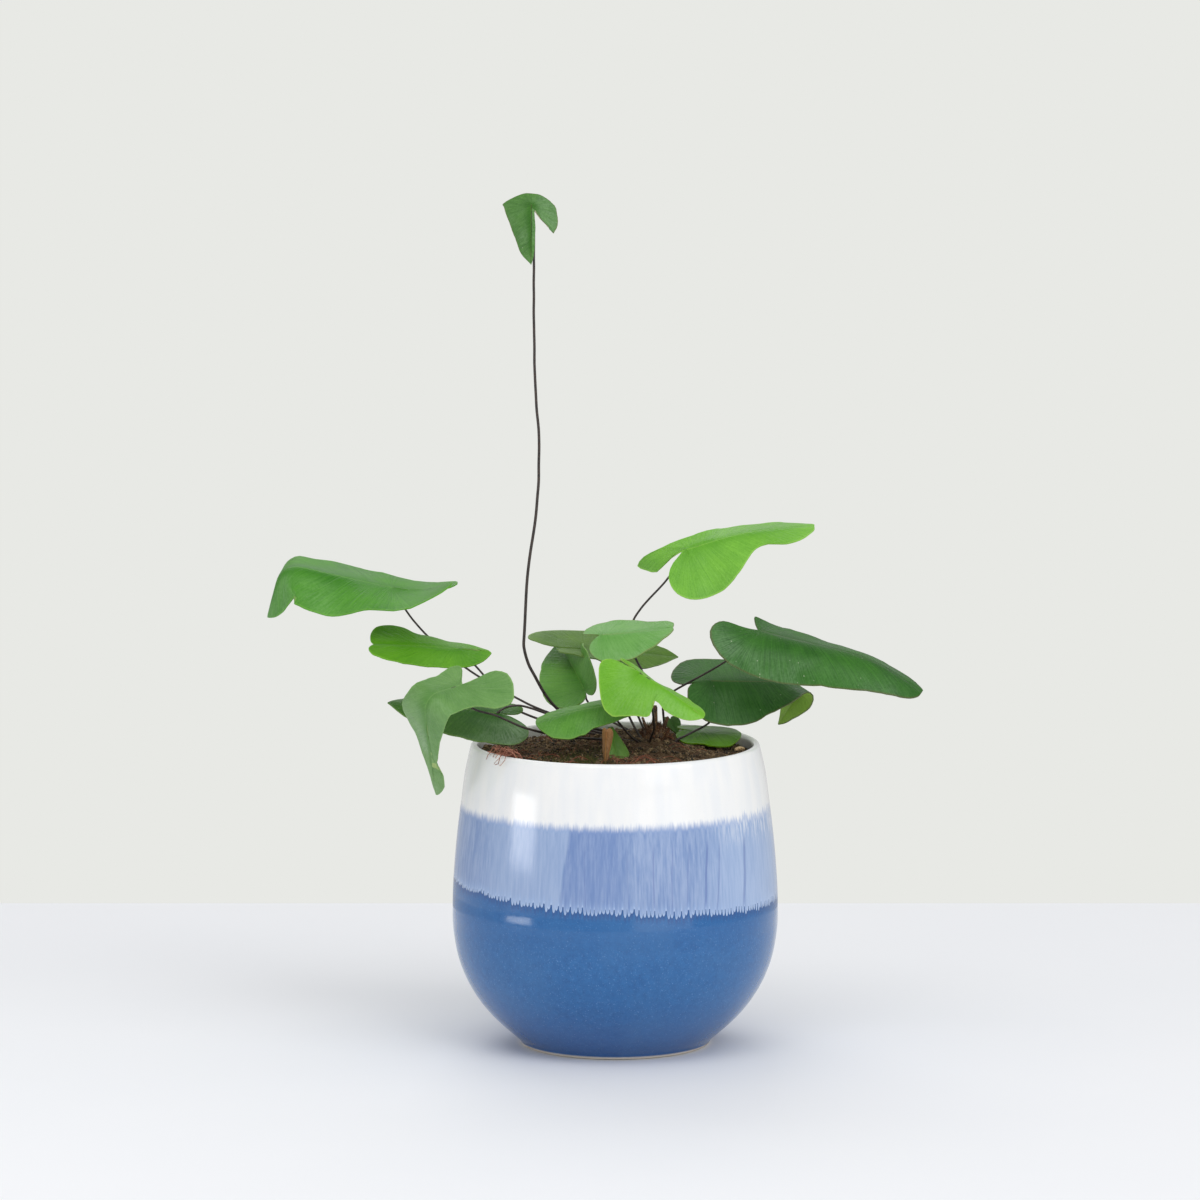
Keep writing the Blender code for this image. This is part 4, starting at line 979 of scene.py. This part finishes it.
def make_rim_roots():
    """Tangle of fine roots that hangs over the left of the rim, thinning toward their ends."""
    chance = random.Random(21)
    parts = []
    for number in range(26):
        a = math.radians(chance.uniform(214, 227))
        r = chance.uniform(52.5, 56.5)
        path = []
        out = chance.uniform(4.5, 8.5) if number < 15 else chance.uniform(1.0, 4.0)
        for k in range(9):
            t = k / 8
            radius = r + out * t + 1.2 * math.sin(math.pi * t)
            z = 124.6 + 6.2 * math.sin(math.pi * min(1.0, t * 1.15)) * chance.uniform(0.9, 1.1)
            if radius > 58.0:
                z = max(z, 128.6 if radius < 61.2 else 127.0 - 1.2 * (radius - 61.2))
            a += chance.uniform(-0.034, 0.006)
            path.append((radius * math.cos(a), radius * math.sin(a), z))
        parts.append(wire("rim_root", path, [0.22 * (1.2 - 0.6 * k / 8) for k in range(9)], 0))
    return joined("rim_roots", parts)


def make_moss():
    """Patch of short moss between the stipes at the middle left."""
    chance = random.Random(31)
    roots = []
    for number in range(1500):
        x, y = (chance.gauss(-13, 5), chance.gauss(-36, 7)) if number < 600 else (chance.gauss(-20, 13), chance.gauss(-36, 10))
        if math.hypot(x, y) > 56:
            continue
        roots.append(((x, y, rough_ground(x, y) - 0.1), (chance.uniform(-0.5, 0.5), chance.uniform(-0.5, 0.5), 1)))
    return bristles("moss_tufts", roots, 32, (0.8, 2.4), 0.14)


def make_crown():
    """Knobbly crown with the stubs of old stipes and a coat of narrow scales."""
    cx, cy = CROWN_CENTRE
    bpy.ops.object.select_all(action="DESELECT")
    bpy.ops.mesh.primitive_uv_sphere_add(segments=40, ring_count=24, radius=6.0 * MM, location=(cx * MM, cy * MM, 0.1288))
    knob = bpy.context.object
    bpy.ops.object.transform_apply(location=True, rotation=True, scale=True)
    for vert in knob.data.vertices:
        p = vert.co / MM
        away = Vector((p.x - cx, p.y - cy, p.z - 128.8))
        swell = 1 + 0.16 * noise.noise(p * 0.35) + 0.08 * noise.noise(p * 1.1)
        vert.co = Vector((cx + away.x * swell, cy + away.y * swell, 128.8 + away.z * swell)) * MM
    bpy.ops.object.shade_smooth_by_angle(angle=math.radians(60))
    parts = [knob]
    for number, (foot, tip, radius) in enumerate((
            ((16.6, 4.2, 131.0), (16.8, 3.4, 143.2), 1.2), ((19.6, 4.6, 131.0), (22.2, 3.6, 138.4), 0.75),
            ((14.6, 2.4, 130.5), (12.0, 0.8, 136.4), 0.7), ((14.2, 6.0, 130.5), (11.4, 7.4, 137.6), 0.65))):
        path = [tuple(a + (b - a) * t for a, b in zip(foot, tip)) for t in (0, 0.2, 0.45, 0.7, 0.93, 1.0)]
        stub = wire("stub", path, [radius * w for w in (1.15, 1.0, 1.06, 0.92, 0.86, 0.6)], 3)
        parts.append(stub)
    chance = random.Random(41)
    roots = []
    for _ in range(420):
        a = chance.uniform(0, 2 * math.pi)
        up = chance.uniform(-0.15, 1.0)
        flat = math.sqrt(max(0.0, 1 - up * up))
        way = Vector((flat * math.cos(a), flat * math.sin(a), up))
        place = Vector((cx, cy, 128.8)) + way * 5.6
        roots.append((tuple(place), tuple(way + Vector((0, 0, 0.7)))))
    scales = bristles("crown_scales_part", roots, 42, (1.2, 3.2), 0.2)
    return joined("crown_scaly", parts), scales


# ---------------------------------------------------------------- the whole

TONES = {
    # upper light, upper dark, lower face, margin, streaks, speckles, painted sheen
    "far_left": ((88, 160, 36), (38, 108, 14), (132, 170, 90), (108, 168, 60), 0.8, 0.1, 0.5),
    "left": ((108, 172, 38), (62, 128, 18), (150, 182, 90), (130, 184, 60), 0.6, 0.05, 0.2),
    "front_left": ((122, 166, 92), (76, 126, 56), (172, 198, 122), (136, 176, 100), 0.8, 0.12, 0.45),
    "low_left": ((76, 122, 42), (28, 76, 18), (132, 160, 74), (110, 142, 64), 0.7, 0.12, 0.5),
    "back_left": ((106, 144, 54), (58, 98, 28), (132, 160, 100), (130, 160, 90), 0.6, 0.1, 0.3),
    "upper_centre": ((124, 180, 92), (82, 144, 58), (140, 178, 110), (140, 146, 90), 0.8, 0.1, 0.5),
    "centre": ((128, 194, 44), (84, 154, 22), (150, 196, 72), (168, 208, 90), 0.5, 0.04, 0.2),
    "low_centre": ((98, 158, 50), (52, 112, 26), (140, 174, 84), (128, 168, 74), 0.7, 0.08, 0.3),
    "upper_right": ((130, 196, 62), (82, 150, 34), (160, 204, 90), (156, 206, 90), 0.8, 0.06, 0.12),
    "back_centre": ((112, 166, 70), (62, 122, 42), (112, 152, 66), (130, 170, 84), 0.7, 0.1, 0.25),
    "right": ((60, 122, 30), (18, 72, 8), (112, 146, 76), (92, 84, 52), 1.0, 0.5, 0.25),
    # The lower face of low_right is painted bright lime for light shining through the leaf.
    "low_right": ((66, 120, 44), (24, 74, 18), (164, 206, 84), (106, 104, 64), 0.9, 0.25, 0.15),
    # The upper face of rim_right is painted bright lime for light shining through the leaf.
    "rim_right": ((100, 156, 2), (36, 88, 0), (120, 152, 44), (116, 156, 30), 0.5, 0.05, 0.0),
    "small_back": ((80, 126, 46), (38, 80, 22), (100, 132, 66), (112, 142, 64), 0.5, 0.05, 0.1),
    "small_front": ((96, 138, 46), (50, 92, 24), (110, 144, 72), (134, 144, 66), 0.6, 0.05, 0.1),
    "fertile": ((88, 142, 54), (38, 90, 24), (180, 178, 140), (116, 112, 64), 1.0, 0.3, 0.3),
}


def area_light(name, place, aim, size, energy, color=(1, 1, 1)):
    data = bpy.data.lights.new(name, "AREA")
    data.shape = "RECTANGLE"
    data.size, data.size_y = size
    data.energy = energy
    data.color = color
    lamp = bpy.data.objects.new(name, data)
    lamp.location = place
    lamp.rotation_euler = (Vector(aim) - Vector(place)).to_track_quat("-Z", "Y").to_euler()
    bpy.context.scene.collection.objects.link(lamp)
    return lamp


def set_stage():
    """Pale table, soft light from the right, the front and behind, and the camera."""
    bpy.ops.object.select_all(action="DESELECT")
    bpy.ops.mesh.primitive_plane_add(size=1)
    table = bpy.context.object
    table.name = "pale_table"
    for vert in table.data.vertices:
        vert.co = Vector((vert.co.x * 7.0, 0.33 if vert.co.y > 0 else -4.0, -0.0002))
    material, n, shader = new_material("pale_table_paint")
    place = n.put("ShaderNodeTexCoord").outputs["Object"]
    patch = n.noise(place, 6.0, 3.0, 0.5)
    n.feed(shader.inputs["Base Color"], n.mix(patch, linear(240, 242, 246), linear(244, 245, 248)))
    shader.inputs["Roughness"].default_value = 0.6
    shader.inputs["Specular IOR Level"].default_value = 0.3
    table.data.materials.append(material)

    scene = bpy.context.scene
    world = bpy.data.worlds.new("soft_room")
    scene.world = world
    world.use_nodes = True
    n = Nodes(world.node_tree)
    back = world.node_tree.nodes["Background"]
    seen = n.put("ShaderNodeLightPath").outputs["Is Camera Ray"]
    n.feed(back.inputs["Color"], n.mix(seen, (1.0, 1.0, 1.0, 1.0), linear(232, 233, 229)))
    n.feed(back.inputs["Strength"], n.ramp(seen, 0.0, 1.0, 0.60, 1.0, soft=False))
    area_light("window_right", (1.5, -1.6, 1.5), (0, 0, 0.12), (1.8, 1.6), 17.5, (1.0, 1.0, 0.99))
    area_light("sky_behind", (-0.5, 1.7, 1.7), (0, 0, 0.18), (1.6, 1.0), 9.0, (1.0, 1.0, 1.0))
    area_light("table_bounce", (1.0, -1.5, 0.2), (0, 0, 0.0), (1.4, 0.4), 1.4)
    area_light("front_sky", (-0.1, -1.0, 1.6), (0, -0.1, 0), (1.4, 0.9), 7.5)
    area_light("low_pane", (-0.70, -0.27, 0.12), (-0.04, -0.05, 0.06), (0.26, 0.10), 0.42)

    data = bpy.data.cameras.new("camera")
    camera = bpy.data.objects.new("camera", data)
    data.lens = 200.0
    data.sensor_width = 36.0
    data.clip_end = 50.0
    camera.location = (-0.00643, -2.7754, 0.5589)
    aim = Vector((-0.00643, 0, 0.1885))
    camera.rotation_euler = (aim - camera.location).to_track_quat("-Z", "Y").to_euler()
    scene.collection.objects.link(camera)
    scene.camera = camera
    scene.view_settings.view_transform = "Standard"


def wear(obj, *materials):
    for number, material in enumerate(materials):
        if number < len(obj.data.materials):
            obj.data.materials[number] = material
        else:
            obj.data.materials.append(material)


def main():
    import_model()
    set_stage()

    pot = make_pot()
    wear(pot, glaze_finish())
    give(pot, "pot")

    soil = make_soil()
    wear(soil, soil_finish())
    give(soil, "soil")
    crumbs = make_crumbs()
    wear(crumbs, mottled_finish("soil_crumb_mix", (24, 20, 16), (112, 90, 64), 260.0, 0.9, (156, 132, 94)))
    give(crumbs, None)
    fibres = make_fibres()
    wear(fibres, mottled_finish("root_fibre", (104, 56, 38), (148, 88, 60), 200.0, 0.7))
    give(fibres, None)
    roots = make_rim_roots()
    wear(roots, mottled_finish("rim_root_red", (128, 72, 56), (176, 120, 96), 260.0, 0.7, (58, 34, 30)))
    give(roots, None)
    moss = make_moss()
    wear(moss, mottled_finish("moss_green", (50, 62, 24), (92, 98, 44), 120.0, 0.85, (120, 96, 50)))
    give(moss, None)
    crown, scales = make_crown()
    wear(crown, mottled_finish("crown_bark", (52, 38, 28), (96, 70, 48), 260.0, 0.8, (150, 120, 82)))
    give(crown, "crown")
    wear(scales, mottled_finish("crown_scale_brown", (70, 44, 28), (132, 88, 54), 180.0, 0.7))
    give(scales, None)

    flesh = leaf_flesh_group()
    stipe_look = mottled_finish("stipe_black_brown", (30, 27, 27), (56, 46, 42), 420.0, 0.38, (84, 66, 54))
    for number, (name, leaf) in enumerate(LEAVES.items()):
        light, dark, below, margin, streaks, speckles, painted_sheen = TONES[name]
        upper = leaf_finish("leaf_top_" + name, flesh, light, dark, margin, streaks, speckles, painted_sheen)
        deep_below = tuple(int(c * 0.8) for c in below)
        lower = leaf_finish("leaf_back_" + name, flesh, below, deep_below, margin, streaks, 0.0, 0.1, rough=0.7)
        small = leaf.get("small", False)
        blade = make_blade("frond_" + name, leaf, number * 2.37 + 1.0, 0.15 if small else 0.6)
        wear(blade, upper, lower)
        give(blade, "blade_" + name)
        stipe = make_stipe(name, leaf, STIPES[name], number * 3.1)
        wear(stipe, stipe_look)
        give(stipe, "stipe_" + name)
    dry = make_blade("dry_leaflet_curled", DRY_LEAFLET, 55.0, 0.5, 0.45)
    wear(dry, leaf_finish("dry_leaf_top", flesh, (156, 104, 54), (92, 66, 30), (204, 134, 76), 1.0, 0.0, 0.1),
         leaf_finish("dry_leaf_back", flesh, (150, 112, 62), (96, 72, 36), (190, 130, 80), 1.0, 0.0, 0.1, rough=0.8))
    give(dry, "dry_leaflet")
    stick = wire("stick_pale", [(50.4, -3.4, 125.4), (51.2, -2.8, 125.6), (52.4, -2.0, 125.75), (53.6, -1.2, 125.6),
                                (54.4, -0.8, 125.3)], [0.55, 0.78, 0.88, 0.74, 0.5])
    wear(stick, mottled_finish("pale_wood", (176, 146, 102), (206, 180, 138), 300.0, 0.8, (140, 108, 70)))
    give(stick, "stick")

    bpy.context.view_layer.update()


main()
